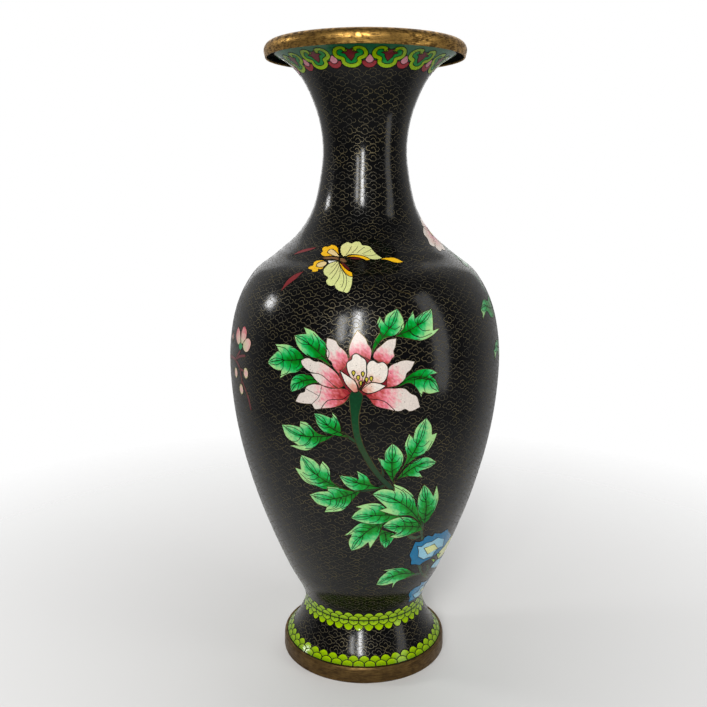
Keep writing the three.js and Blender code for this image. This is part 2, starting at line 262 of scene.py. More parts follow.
def fired_enamel(name, colour, mottle, roughness):
    """Opaque fired glass: one colour with cloudy mottling, tiny dark pits, and a faintly uneven gloss."""
    material = new_material(
        name, [("Roughness", roughness), ("IOR", 1.52), ("Coat Weight", 0.3), ("Coat Roughness", 0.06)],
    )
    place = node(material, "TexCoord").outputs["Object"]
    cloud = node(material, "TexNoise", [("Vector", place), ("Scale", 1 / (7 * MM)), ("Detail", 5.0)])
    spots = node(material, "TexVoronoi", [("Vector", place), ("Scale", 1 / (3.2 * MM))])
    pit = node(
        material, "MapRange",
        [("Value", spots.outputs["Distance"]), ("From Min", 0.06), ("From Max", 0.12)],
    )
    shade = node(
        material, "Mix",
        [(0, cloud.outputs["Fac"]), (MIX_A, rgba(colour)), (MIX_B, rgba(mottle))], data_type="RGBA",
    )
    pitted = node(
        material, "Mix",
        [(0, pit.outputs["Result"]), (MIX_A, rgba(0x0A1414)), (MIX_B, shade.outputs[MIX_OUT])],
        data_type="RGBA",
    )
    waves = node(
        material, "Bump",
        [("Height", cloud.outputs["Fac"]), ("Strength", 0.2), ("Distance", 0.25 * MM)],
    )
    link(material, pitted.outputs[MIX_OUT], "Base Color")
    link(material, waves.outputs["Normal"], "Normal")
    return material


# Counter enamel, fired and left unpolished: a soft sheen over cloudy turquoise, with pits.
turquoise_enamel = fired_enamel("turquoise_counter_enamel", 0x2A8A94, 0x3CA4A8, roughness=0.22)
add_piece(
    "base_enamel_under", disc(PLATE_BOTTOM - GAP - LINING, LINING, PLATE_RADIUS), turquoise_enamel,
    ["base_counter_enamel"],
)
add_piece(
    "base_enamel_inside", disc(PLATE_BOTTOM + COPPER + GAP, LINING, INSIDE_RADIUS), turquoise_enamel,
    ["lining_floor"],
)


# ---- Copper body -----------------------------------------------------------------------------------
# Four sections spun from 1.2 mm copper sheet over wooden chucks and soldered end to end. Enamel hides
# the outside, and the lining the inside.
OUTLINE = np.array([
    (52.8, 8.5), (46.2, 16), (40.9, 26), (38.7, 34), (41.6, 44), (50, 60), (60.2, 84), (70.2, 112),
    (78.4, 143), (83, 173), (83.8, 202), (79.2, 228), (68.7, 248), (54.2, 260), (40.7, 272), (31.6, 287),
    (26.9, 307), (25.7, 324), (28.8, 342), (36.6, 360), (45.6, 370.2), (56.8, 376.2),
])  # outer face of the enamel as (radius, height), joined by a Catmull-Rom curve
SKIN_BOTTOM = 10.4
WAIST = 34
BELLY = 190
NECK_BASE = 284
SKIN_TOP = 374.7
SKIN_DEPTH = 0.4  # the ground lies this far under the outline, so that wires and inlays stay inside it
CURVE_STEPS = 120  # steps between two points of the outline


def outline_curve():
    """Catmull-Rom: between points b and c the curve is a cubic whose slopes there are (c-a)/2 and (d-b)/2."""
    held = np.concatenate([OUTLINE[:1], OUTLINE, OUTLINE[-1:]])
    a, b, c, d = held[:-3, None], held[1:-2, None], held[2:-1, None], held[3:, None]
    t = np.linspace(0, 1, CURVE_STEPS, endpoint=False)[None, :, None]
    cubic = 2 * b + (c - a) * t + (2 * a - 5 * b + 4 * c - d) * t**2 + (3 * b - 3 * c + d - a) * t**3
    return 0.5 * cubic.reshape(-1, 2)


curve = outline_curve()
curve = curve[(curve[:, 1] >= SKIN_BOTTOM) & (curve[:, 1] <= SKIN_TOP)]
along = np.gradient(curve, axis=0)
along /= np.linalg.norm(along, axis=1)[:, None]
outward = np.stack([along[:, 1], -along[:, 0]], 1)
run = np.append(0, np.cumsum(np.linalg.norm(np.diff(curve, axis=0), axis=1)))  # length along the outline
skin = curve - SKIN_DEPTH * outward


def run_at(height):
    """Length along the outline from its lower end to a height."""
    return np.interp(height, curve[:, 1], run)


def layer(bottom, top, outer_depth, inner_depth, outer_step, inner_step):
    """Closed profile of a layer of the wall: up its outer face and down its inner one, along the outline.

    Each face is the outline moved in by its depth, with points a step of its own apart.
    """
    start, end = run_at(bottom), run_at(top)
    sides = []
    for depth, step in ((outer_depth, outer_step), (inner_depth, inner_step)):
        at = np.linspace(start, end, int((end - start) / step) + 2)
        spine = np.stack([np.interp(at, run, curve[:, k]) for k in (0, 1)], 1)
        normal = np.stack([np.interp(at, run, outward[:, k]) for k in (0, 1)], 1)
        sides.append(spine - depth * normal)
    return np.concatenate([sides[0], sides[1][::-1]])


SEAM = 0.15  # half the gap that the solder fills
COPPER_ROWS = 2.5  # mm between rows of points
SECTIONS = [
    ("foot", SKIN_BOTTOM, WAIST - SEAM), ("belly", WAIST + SEAM, BELLY - SEAM),
    ("shoulder", BELLY + SEAM, NECK_BASE - SEAM), ("neck", NECK_BASE + SEAM, SKIN_TOP),
]
COPPER_OUT = 1.3  # depth of the copper under the outline
COPPER_IN = COPPER_OUT + COPPER
for section, bottom, top in SECTIONS:
    wall = layer(bottom, top, COPPER_OUT, COPPER_IN, COPPER_ROWS, COPPER_ROWS)
    add_piece("copper_wall_" + section, lathe(wall), kiln_copper, ["copper_" + section])


# ---- Lining ----------------------------------------------------------------------------------------
# Turquoise counter enamel, poured in and fired on the inside so that the copper doesn't warp. It is
# thicker and cloudier than the work outside, and never polished.
LINING_OUT = COPPER_IN + GAP
LINING_IN = LINING_OUT + LINING
LINING_BACK_ROWS = 3.2
LINING_ROWS = 2.2
lining = layer(SKIN_BOTTOM, SKIN_TOP, LINING_OUT, LINING_IN, LINING_BACK_ROWS, LINING_ROWS)
add_piece(
    "lining_coat", lathe(lining), turquoise_enamel,
    ["lining_foot", "lining_belly", "lining_shoulder", "lining_neck"],
)


# ---- Black ground ----------------------------------------------------------------------------------
# Black enamel fired between the wires and ground flat with stone and charcoal. It shines, with tiny
# pits and fine scratches left by the grinding.
GROUND_ROWS = 1.75  # mm between its rows of points
HIDDEN_ROWS = 5.0  # mm between the rows on its back, against the copper


def black_enamel():
    """Near-black glass: broad unevenness in the polish, pits 0.3 mm across, and brownish dust in them."""
    material = new_material("black_enamel_polished", [("IOR", 1.38), ("Roughness", 0.14)])
    place = node(material, "TexCoord").outputs["Object"]
    wave = node(material, "TexNoise", [("Vector", place), ("Scale", 1 / (16 * MM)), ("Detail", 3.0)])
    grain = node(material, "TexNoise", [("Vector", place), ("Scale", 1 / (1.1 * MM)), ("Detail", 4.0)])
    cells = node(material, "TexVoronoi", [("Vector", place), ("Scale", 1 / (2.4 * MM))])
    pit = node(
        material, "MapRange",
        [("Value", cells.outputs["Distance"]), ("From Min", 0.05), ("From Max", 0.13)],
    )
    colour = node(
        material, "Mix",
        [(0, pit.outputs["Result"]), (MIX_A, rgba(0x24201C)), (MIX_B, rgba(0x050506))], data_type="RGBA",
    )
    gloss = node(
        material, "MapRange",
        [
            ("Value", grain.outputs["Fac"]), ("From Min", 0.3), ("From Max", 0.7),
            ("To Min", 0.1), ("To Max", 0.2),
        ],
    )
    dip = node(
        material, "Bump",
        [("Height", pit.outputs["Result"]), ("Strength", 0.3), ("Distance", 0.05 * MM)],
    )
    uneven = node(
        material, "Bump",
        [
            ("Height", wave.outputs["Fac"]), ("Strength", 0.25), ("Distance", 0.5 * MM),
            ("Normal", dip.outputs["Normal"]),
        ],
    )
    link(material, colour.outputs[MIX_OUT], "Base Color")
    link(material, gloss.outputs["Result"], "Roughness")
    link(material, uneven.outputs["Normal"], "Normal")
    return material


ENAMEL_DEPTH = 1.0
ground = layer(SKIN_BOTTOM, SKIN_TOP, SKIN_DEPTH, ENAMEL_DEPTH, GROUND_ROWS, HIDDEN_ROWS)
add_piece(
    "black_ground", lathe(ground), black_enamel(),
    ["ground_foot", "ground_body", "ground_neck"],
)


# ---- Scale borders ---------------------------------------------------------------------------------
# Lime enamel in overlapping round scales: two rows round the base, and four at the waist that point
# away from its soldered joint. Each scale is one wire cell.
CELL_STEP = 1.0  # spacing of the net of points inside a cell
EDGE_CLEAR = 0.4  # no point of the net lies nearer to the edge than this
FOOTING = -0.12  # how deep cells and wires reach into the ground
ENAMEL_LIFT = 0.06
WIRE_RISE = 0.03  # a wire stands this much over its own cell, and less than the next cell in front
WIRE_WIDTH = 0.42
CORNER_SHARE = 0.6  # keeps a wire from swelling at a sharp corner


def on_skin(flat, front=0.0):
    """Places (across, up, height) on the wall: up is a length along the outline, across a length round it."""
    across, up, height = flat.T
    radius = np.interp(up, run, skin[:, 0]) + height * np.interp(up, run, outward[:, 0])
    z = np.interp(up, run, skin[:, 1]) + height * np.interp(up, run, outward[:, 1])
    angle = front + across / np.interp(up, run, curve[:, 0])
    return np.stack([radius * np.sin(angle), -radius * np.cos(angle), z], 1)


def inside(points, outline):
    """True where a ray to the right of a point crosses the closed outline an odd number of times."""
    ax, ay = outline.T
    bx, by = np.roll(outline, -1, 0).T
    x, y = points[:, :1], points[:, 1:2]
    spans = (ay > y) != (by > y)
    level = np.where(by == ay, 1, by - ay)
    crossing = spans & (x < ax + (bx - ax) * (y - ay) / level)
    return crossing.sum(1) % 2 == 1


def distance_to(points, path):
    """Distance from each point to the nearest stretch of a path."""
    a, b = path[None, :-1], path[None, 1:]
    p = points[:, None]
    reach = b - a
    share = ((p - a) * reach).sum(-1) / np.maximum((reach**2).sum(-1), 1e-9)
    return np.linalg.norm(p - a - np.clip(share, 0, 1)[..., None] * reach, axis=-1).min(1)


def enamel_cell(outline, lift):
    """Fills an outline with a triangle net over a lattice, with a skirt down from its edge to a back."""
    low, high = outline.min(0), outline.max(0)
    lattice = np.meshgrid(*(np.arange(low[k], high[k], CELL_STEP) for k in (0, 1)))
    lattice = np.stack(lattice, -1).reshape(-1, 2)
    closed = np.concatenate([outline, outline[:1]])
    lattice = lattice[inside(lattice, outline)]
    if len(lattice):
        lattice = lattice[distance_to(lattice, closed) > EDGE_CLEAR]
    flat = np.concatenate([outline, lattice])
    rim = list(range(len(outline)))
    net, _, faces, *_ = delaunay_2d_cdt([Vector(p) for p in flat], [], [rim], 1, 1e-5)
    net = np.array([tuple(p) for p in net])
    top = np.array(faces)
    count = len(net)
    start, end = np.concatenate([top[:, [0, 1]], top[:, [1, 2]], top[:, [2, 0]]]).T
    edge = ~np.isin(end * count + start, start * count + end)
    start, end = start[edge], end[edge]
    skirt = np.stack([end, start, start + count, end + count], 1)
    under = top[:, ::-1] + count
    heights = np.repeat([lift, FOOTING], count)[:, None]
    points = np.concatenate([np.concatenate([net, net]), heights], 1)
    return points, [np.concatenate([top, under]), skirt]


def wire(path, closed, lift, width=WIRE_WIDTH):
    """Lays a strip along a path: flat on top, and drawn in to an edge that reaches into the ground."""
    if closed:
        before, after = np.roll(path, 1, 0), np.roll(path, -1, 0)
    else:
        before = np.concatenate([path[:1], path[:-1]])
        after = np.concatenate([path[1:], path[-1:]])
    arriving, leaving = path - before, after - path
    sideways = []
    for step in (arriving, leaving):
        length = np.linalg.norm(step, axis=1)
        unit = step / np.maximum(length, 1e-9)[:, None]
        sideways.append(np.stack([-unit[:, 1], unit[:, 0]], 1))
    mitre = sideways[0] + sideways[1]
    mitre /= np.maximum(0.5 * (mitre**2).sum(1), CORNER_SHARE)[:, None]
    if not closed:
        mitre[0], mitre[-1] = sideways[1][0], sideways[0][-1]
    half = 0.5 * width * mitre
    strip = np.stack([path - half, path + half, path], 1)
    heights = np.broadcast_to([lift, lift, FOOTING], strip.shape[:2])[..., None]
    points = np.concatenate([strip, heights], -1).reshape(-1, 3)
    faces = [grid_faces(len(path), 3, closed, True)]
    if not closed:
        last = 3 * (len(path) - 1)
        faces.append(np.array([(1, 2, 0), (last, last + 2, last + 1)]))
    return points, faces


def joined(shapes):
    """Puts shapes together: triangles with triangles and quads with quads, their point numbers moved on."""
    starts = np.append(0, np.cumsum([len(points) for points, _ in shapes]))
    parts = {3: [], 4: []}
    for start, (_, faces) in zip(starts, shapes):
        for part in faces:
            parts[part.shape[1]].append(part + start)
    return (
        np.concatenate([points for points, _ in shapes]),
        [np.concatenate(part) for part in parts.values() if part],
    )


def repeated(shape, count, offset=0.0):
    """Copies a placed shape round the axis, at equal angles from an offset counted in steps."""
    points, faces = shape
    angle = (np.arange(count) + offset) * (2 * np.pi / count)
    cos, sin = np.cos(angle)[:, None], np.sin(angle)[:, None]
    x, y, z = points.T
    turned = np.stack([x * cos - y * sin, x * sin + y * cos, np.broadcast_to(z, (count, len(z)))], -1)
    shift = (np.arange(count) * len(points))[:, None, None]
    return turned.reshape(-1, 3), [(part[None] + shift).reshape(-1, part.shape[1]) for part in faces]


def arc(centre, radii, start, end, steps):
    """Points on an ellipse from one angle to another, in degrees, counterclockwise from the right."""
    angle = np.radians(np.linspace(start, end, steps))
    return np.stack([centre[0] + radii[0] * np.cos(angle), centre[1] + radii[1] * np.sin(angle)], 1)


def polished_cells(name, roughness=0.13, speckle_mm=0.9):
    """Enamel cells, polished flush: colour from the cell, broken by fine grains of glass and small pits."""
    material = new_material(name, [("IOR", 1.38), ("Roughness", roughness)])
    glass = node(material, "Attribute", attribute_name="glass").outputs["Color"]
    place = node(material, "TexCoord").outputs["Object"]
    grain = node(
        material, "TexNoise",
        [("Vector", place), ("Scale", 1 / (speckle_mm * MM)), ("Detail", 3.0), ("Roughness", 0.7)],
    )
    tone = node(
        material, "MapRange",
        [
            ("Value", grain.outputs["Fac"]), ("From Min", 0.3), ("From Max", 0.7),
            ("To Min", 0.84), ("To Max", 1.12),
        ],
    )
    grainy = node(
        material, "VectorMath", [(0, glass), ("Scale", tone.outputs["Result"])], operation="SCALE",
    )
    cells = node(material, "TexVoronoi", [("Vector", place), ("Scale", 1 / (2.2 * MM))])
    pit = node(
        material, "MapRange",
        [("Value", cells.outputs["Distance"]), ("From Min", 0.07), ("From Max", 0.12)],
    )
    colour = node(
        material, "Mix",
        [(0, pit.outputs["Result"]), (MIX_A, rgba(0x3A2A1C)), (MIX_B, grainy.outputs["Vector"])],
        data_type="RGBA",
    )
    uneven = node(
        material, "Bump", [("Height", grain.outputs["Fac"]), ("Strength", 0.12), ("Distance", 0.1 * MM)],
    )
    link(material, colour.outputs[MIX_OUT], "Base Color")
    link(material, uneven.outputs["Normal"], "Normal")
    return material


def cell_wire(name, dark, bright, roughness, metallic=0.85):
    """Drawn brass wire seen edge on: mostly tarnished dark, gold here and there."""
    material = new_material(name, [("Metallic", metallic), ("Roughness", roughness)])
    place = node(material, "TexCoord").outputs["Object"]
    tarnish = node(material, "TexNoise", [("Vector", place), ("Scale", 1 / (9 * MM)), ("Detail", 4.0)])
    level = node(
        material, "MapRange",
        [("Value", tarnish.outputs["Fac"]), ("From Min", 0.35), ("From Max", 0.7)],
    )
    colour = node(
        material, "Mix",
        [(0, level.outputs["Result"]), (MIX_A, rgba(dark)), (MIX_B, rgba(bright))], data_type="RGBA",
    )
    link(material, colour.outputs[MIX_OUT], "Base Color")
    return material


# Opaque lime enamel, polished: bright and even, a little grainy.
scale_enamel = polished_cells("lime_enamel_polished")
# Wire cut flush with the glass and tarnished: it reads as a dark line between bright cells.
dark_wire = cell_wire("brass_wire_tarnished_black", 0x0E0C08, 0x2A2418, 0.45)
# The same wire where the polish has kept it brighter: a thin dull-gold line.
gilt_wire = cell_wire("brass_wire_dull_gold", 0x2C2618, 0x6C5E3A, 0.42)
LIME = 0xA8CC00
LIME_SHADE = 0x6C9400
ROW_RISE = 0.05  # a row of scales stands this much over the row behind it
DOME_STEPS = 14
DOME_DIP = 12  # degrees that each end of a scale's arc runs on below its base line
SCALE_REACH = 0.53  # half the width of a scale, as a share of the spacing
SCALE_WIRE = 0.5


def scale_row(base, pitch_count, half_height, lift, pointing, offset):
    """One row of scales: each is an ellipse cut off at its base line, darker towards that line."""
    width = SCALE_REACH * 2 * np.pi * np.interp(base, run, curve[:, 0]) / pitch_count
    dome = arc((0, 0), (width, pointing * half_height), -DOME_DIP, 180 + DOME_DIP, DOME_STEPS)
    if pointing < 0:
        dome = dome[::-1]
    outline = dome + (0, base)
    points, faces = enamel_cell(outline, lift)
    share = np.clip(np.abs(points[:, 1] - base) / half_height, 0, 1)[:, None]
    colours = linear(LIME_SHADE) + (linear(LIME) - linear(LIME_SHADE)) * share
    edge = wire(outline, True, lift + WIRE_RISE, SCALE_WIRE)
    row = repeated((on_skin(points), faces), pitch_count, offset)
    lines = repeated((on_skin(edge[0]), edge[1]), pitch_count, offset)
    return row, lines, np.tile(colours, (pitch_count, 1))


WAIST_SCALES = 38
BASE_SCALES = 45
waist_run = run_at(WAIST)
ROWS = {  # base line, scales in a turn, half height, lift, which way they point, shift in scales
    "base_scales": [
        (2.2, BASE_SCALES, 4.2, ENAMEL_LIFT, 1, 0.06),
        (0.3, BASE_SCALES, 3.1, ENAMEL_LIFT + ROW_RISE, 1, 0.56),
    ],
    "upper_waist_scales": [
        (waist_run + 1.6, WAIST_SCALES, 3.9, ENAMEL_LIFT, 1, 0.5),
        (waist_run + 0.3, WAIST_SCALES, 2.7, ENAMEL_LIFT + ROW_RISE, 1, 0.0),
    ],
    "lower_waist_scales": [
        (waist_run - 1.7, WAIST_SCALES, 4.7, ENAMEL_LIFT, -1, 0.5),
        (waist_run - 0.3, WAIST_SCALES, 2.8, ENAMEL_LIFT + ROW_RISE, -1, 0.0),
    ],
}
SCALE_NODES = {
    "base_scales": "scale_border_base",
    "upper_waist_scales": "scale_border_waist",
    "lower_waist_scales": "scale_border_foot",
}
scale_lines = []
for name, rows in ROWS.items():
    made = [scale_row(*row) for row in rows]
    cells = joined([row for row, _, _ in made])
    colours = np.concatenate([tint for _, _, tint in made])
    add_piece(name, cells, scale_enamel, [SCALE_NODES[name]], colours)
    scale_lines += [lines for _, lines, _ in made]
JOINT_STEPS = 144
JOINT_WIDTH = 0.7
joint_across = np.linspace(-1, 1, JOINT_STEPS + 1)[:-1] * np.pi * np.interp(waist_run, run, curve[:, 0])
joint_path = np.stack([joint_across, np.full(JOINT_STEPS, waist_run)], 1)
joint_strip, _ = wire(joint_path, False, ENAMEL_LIFT + 2 * ROW_RISE, JOINT_WIDTH)
scale_lines.append((on_skin(joint_strip), [grid_faces(JOINT_STEPS, 3, True, True)]))
add_piece("scale_wires", joined(scale_lines), dark_wire, [])


# ---- Ruyi border -----------------------------------------------------------------------------------
# Thirteen ruyi heads hang under the mouth: a lime band curled in at both ends round green lobes and a
# maroon heart, with a pink drop in a red half-round between each two. Dark green fills the rest.
RUYI_HEADS = 13
RUYI_FOOT = run_at(363.3)
RUYI_BAND = 2.5
CLEAR_TURN = 75  # an outline keeps a corner where it turns by more than this, in degrees


def drawn(points, closed=True, steps=5):
    """A smooth line through points: cubic spans, with slopes set by the neighbours except at a corner."""
    point = np.asarray(points, float)
    if closed:
        before, after = np.roll(point, 1, 0), np.roll(point, -1, 0)
    else:
        before = np.concatenate([2 * point[:1] - point[1:2], point[:-1]])
        after = np.concatenate([point[1:], 2 * point[-1:] - point[-2:-1]])
    arriving, leaving = point - before, after - point
    long_in, long_out = np.linalg.norm(arriving, axis=1)[:, None], np.linalg.norm(leaving, axis=1)[:, None]
    unit_in, unit_out = arriving / long_in, leaving / long_out
    middle = unit_in + unit_out
    middle /= np.maximum(np.linalg.norm(middle, axis=1), 1e-6)[:, None]
    corner = (unit_in * unit_out).sum(1)[:, None] < math.cos(math.radians(CLEAR_TURN))
    slope_in = np.where(corner, unit_in, middle) * long_in
    slope_out = np.where(corner, unit_out, middle) * long_out
    a, b, slope_a, slope_b = point, after, slope_out, np.roll(slope_in, -1, 0)
    if not closed:
        a, b, slope_a, slope_b = a[:-1], b[:-1], slope_a[:-1], slope_b[:-1]
    t = np.linspace(0, 1, steps, endpoint=False)[None, :, None]
    a, b, slope_a, slope_b = (each[:, None] for each in (a, b, slope_a, slope_b))
    line = (
        (2 * t**3 - 3 * t**2 + 1) * a + (t**3 - 2 * t**2 + t) * slope_a
        + (3 * t**2 - 2 * t**3) * b + (t**3 - t**2) * slope_b
    ).reshape(-1, 2)
    return line if closed else np.concatenate([line, point[-1:]])


def stroke(points, *widths):
    """Outline of a band along a smooth line: offset to both sides by half its width, with round ends.

    The widths are spread evenly along the line, and the band changes straight from one to the next.
    """
    path = drawn(points, closed=False)
    run_along = np.gradient(path, axis=0)
    run_along /= np.linalg.norm(run_along, axis=1)[:, None]
    side = np.stack([-run_along[:, 1], run_along[:, 0]], 1)
    half = np.interp(np.linspace(0, 1, len(path)), np.linspace(0, 1, len(widths)), widths)[:, None] / 2
    turn = np.radians(np.linspace(60, -60, 4))[:, None]
    tail = path[-1] + half[-1] * (np.sin(turn) * side[-1] + np.cos(turn) * run_along[-1])
    head = path[0] + half[0] * (-np.sin(turn) * side[0] - np.cos(turn) * run_along[0])
    return np.concatenate([path + half * side, tail, (path - half * side)[::-1], head])[::-1]


def mirrored(points):
    """A half outline, which starts and ends on the middle line, closed by its mirror image."""
    half = np.asarray(points, float)
    return np.concatenate([half, (half * (-1, 1))[-2:0:-1]])


def plain(colour):
    """A colour rule that gives every point the same colour."""
    return lambda flat: np.broadcast_to(linear(colour), (len(flat), 3))


LEAF_GREEN_DEEP = 0x2C7A50
ruyi_half = [
    (-2.6, 11.2), (-3.3, 12.7), (-5.4, 13.4), (-7.6, 12.4), (-8.7, 10.0), (-8.0, 7.4),
    (-5.6, 6.0), (-4.6, 5.4), (-4.6, 3.6), (-2.8, 1.7), (0, 1.0),
]
ruyi_band = stroke(ruyi_half + [(-x, y) for x, y in ruyi_half[-2::-1]], RUYI_BAND, RUYI_BAND)
ruyi_field = mirrored([(0, 12.4), *ruyi_half[1:]])
ruyi_heart = mirrored([
    (0, 11.9), (-1.9, 13.1), (-2.4, 11.1), (-4.9, 9.5), (-2.8, 8.7), (-2.0, 6.7), (0, 4.0),
])
half_round = np.concatenate([arc((0, 4.0), (4.3, 4.3), 180, 360, 14), [(0, 5.0)]])
drop = drawn([(0, 8.6), (-1.9, 6.0), (-2.3, 4.3), (0, 2.6), (2.3, 4.3), (1.9, 6.0)])
RUYI_PHASE = -0.378  # the first head's place, in thirteenths of a turn
RUYI_CELLS = [  # outline, lift, colour, shift in heads, whether a wire runs round it
    (drawn(ruyi_field), ENAMEL_LIFT + 0.03, 0x0E943C, 0, False),
    (ruyi_band, ENAMEL_LIFT + 0.07, 0xA0C800, 0, True),
    (drawn(ruyi_heart), ENAMEL_LIFT + 0.07, 0x7A2A2E, 0, True),
    (half_round, ENAMEL_LIFT + 0.04, 0xA23038, 0.5, True),
    (drop, ENAMEL_LIFT + 0.08, 0xE698A4, 0.5, True),
]
cells, lines, tints = [], [], []
for outline, lift, colour, place, edged in RUYI_CELLS:
    outline = outline + (0, RUYI_FOOT)
    shape = enamel_cell(outline, lift)
    cells.append(repeated((on_skin(shape[0]), shape[1]), RUYI_HEADS, place + RUYI_PHASE))
    tints.append(np.broadcast_to(linear(colour), (len(cells[-1][0]), 3)))
    if edged:
        edge = wire(outline, True, lift + WIRE_RISE)
        lines.append(repeated((on_skin(edge[0]), edge[1]), RUYI_HEADS, place + RUYI_PHASE))
FIELD_ROWS = 0.7  # mm between its rows of points, which follow the flare
FIELD_START = 4.6  # mm above the foot of the heads
FIELD_END = 0.2  # mm short of the edge
field_up = np.arange(RUYI_FOOT + FIELD_START, run[-1] - FIELD_END, FIELD_ROWS)
field_across = np.linspace(-np.pi, np.pi, TURNS + 1)[:-1]
up = np.concatenate([field_up, field_up[::-1]])
height = np.repeat([ENAMEL_LIFT - 0.01, FOOTING], len(field_up))
radius = np.interp(up, run, curve[:, 0])
field = np.stack([
    np.outer(field_across, radius).ravel(), np.tile(up, TURNS), np.tile(height, TURNS),
], 1)
cells.append((on_skin(field), [grid_faces(TURNS, len(up), True, True)]))
tints.append(np.broadcast_to(linear(LEAF_GREEN_DEEP), (len(field), 3)))
# Border enamels, polished: strong flat colours with coarser grains than the lime.
border_enamel = polished_cells("border_enamel_polished", speckle_mm=1.4)
add_piece(
    "ruyi_cells", joined(cells), border_enamel, ["ruyi_border"], np.concatenate(tints),
)
add_piece("ruyi_wires", joined(lines), dark_wire, [])


# ---- Peony -----------------------------------------------------------------------------------------
# The peony faces out at the front of the belly. Each petal is a wire cell filled with red, pink and
# white glass wetted into each other, so it fades from a deep red root to a white tip.
LEVEL = 0.045  # a cell in front of another stands this much higher
EDGE_WIDTH = {"dark": 0.5, "gilt": 0.36}
VEIN_RISE = 0.04  # a line on a cell stands this much over it
LINE_STEPS = 4
MOTTLE = 0.09  # how far the colour stops wander
motif_outlines = []  # (bearing of the motif, outline) of every cell, so no cloud is drawn under one


def cloudiness(flat):
    """Unevenness from about -1 to 1: two products of sine waves, some 3 and 6 mm long."""
    x, y = flat.T
    broad = np.sin(1.1 * x + 0.7 * y) * np.sin(0.9 * y - 0.8 * x + 1.3)
    return broad + 0.6 * np.sin(2.3 * x + 0.4 * y) * np.sin(2.1 * y - 0.9 * x)


def speckle(flat):
    """Fine unevenness from -1 to 1, unlike at any two points: what a large multiple of a sine leaves over."""
    wave = 43758.5 * np.sin(flat @ np.array([12.99, 78.23]))
    return 2 * (wave - np.floor(wave)) - 1


def ramp(share, stops):
    """Colours along a share of 0 to 1, straight between stops of (share, sRGB hex)."""
    at, colours = zip(*stops)
    table = np.array([linear(colour) for colour in colours])
    return np.stack([np.interp(share, at, table[:, k]) for k in range(3)], 1)


def fading(root, tip, stops):
    """A colour rule: the stops run from the root to the tip, and wander where the glass has mixed."""
    root, tip = np.array(root), np.array(tip)

    def rule(flat):
        share = np.linalg.norm(flat - root, axis=1) / np.linalg.norm(tip - root)
        return ramp(share + MOTTLE * (0.5 * cloudiness(flat) + speckle(flat)), stops)

    return rule


def inlay(name, origin, cells, lines, nodes, material, bearing=0.0, side=1, line_metal="dark"):
    """Lays a motif: cells are (points, colour rule, level, wire), and lines are (points, level, width).

    Points are (across, up) from the motif's origin, a side of -1 mirrors it, and the bearing is in
    degrees. Each cell joins a list that the clouds read, so that none is drawn under it.
    """
    turn, origin = math.radians(bearing), np.array(origin, float)
    glass, tints, edges = [], [], {"gilt": [], "dark": []}
    for outline, rule, level, edge in cells:
        lift = ENAMEL_LIFT + LEVEL * level
        placed = outline[::side] * (side, 1) + origin
        points, faces = enamel_cell(placed, lift)
        glass.append((on_skin(points, turn), faces))
        tints.append(rule((points[:, :2] - origin) * (side, 1)))
        motif_outlines.append((turn, placed))
        if edge:
            strip, strip_faces = wire(placed, True, lift + WIRE_RISE, EDGE_WIDTH[edge])
            edges[edge].append((on_skin(strip, turn), strip_faces))
    for path, level, width in lines:
        placed = drawn(path, closed=False, steps=LINE_STEPS) * (side, 1) + origin
        strip, strip_faces = wire(placed, False, ENAMEL_LIFT + LEVEL * level + VEIN_RISE, width)
        edges[line_metal].append((on_skin(strip, turn), strip_faces))
    if glass:
        add_piece(name, joined(glass), material, nodes, np.concatenate(tints))
    for kind, wires in edges.items():
        if wires:
            metal = gilt_wire if kind == "gilt" else dark_wire
            add_piece(name + "_" + kind + "_wires", joined(wires), metal, [])


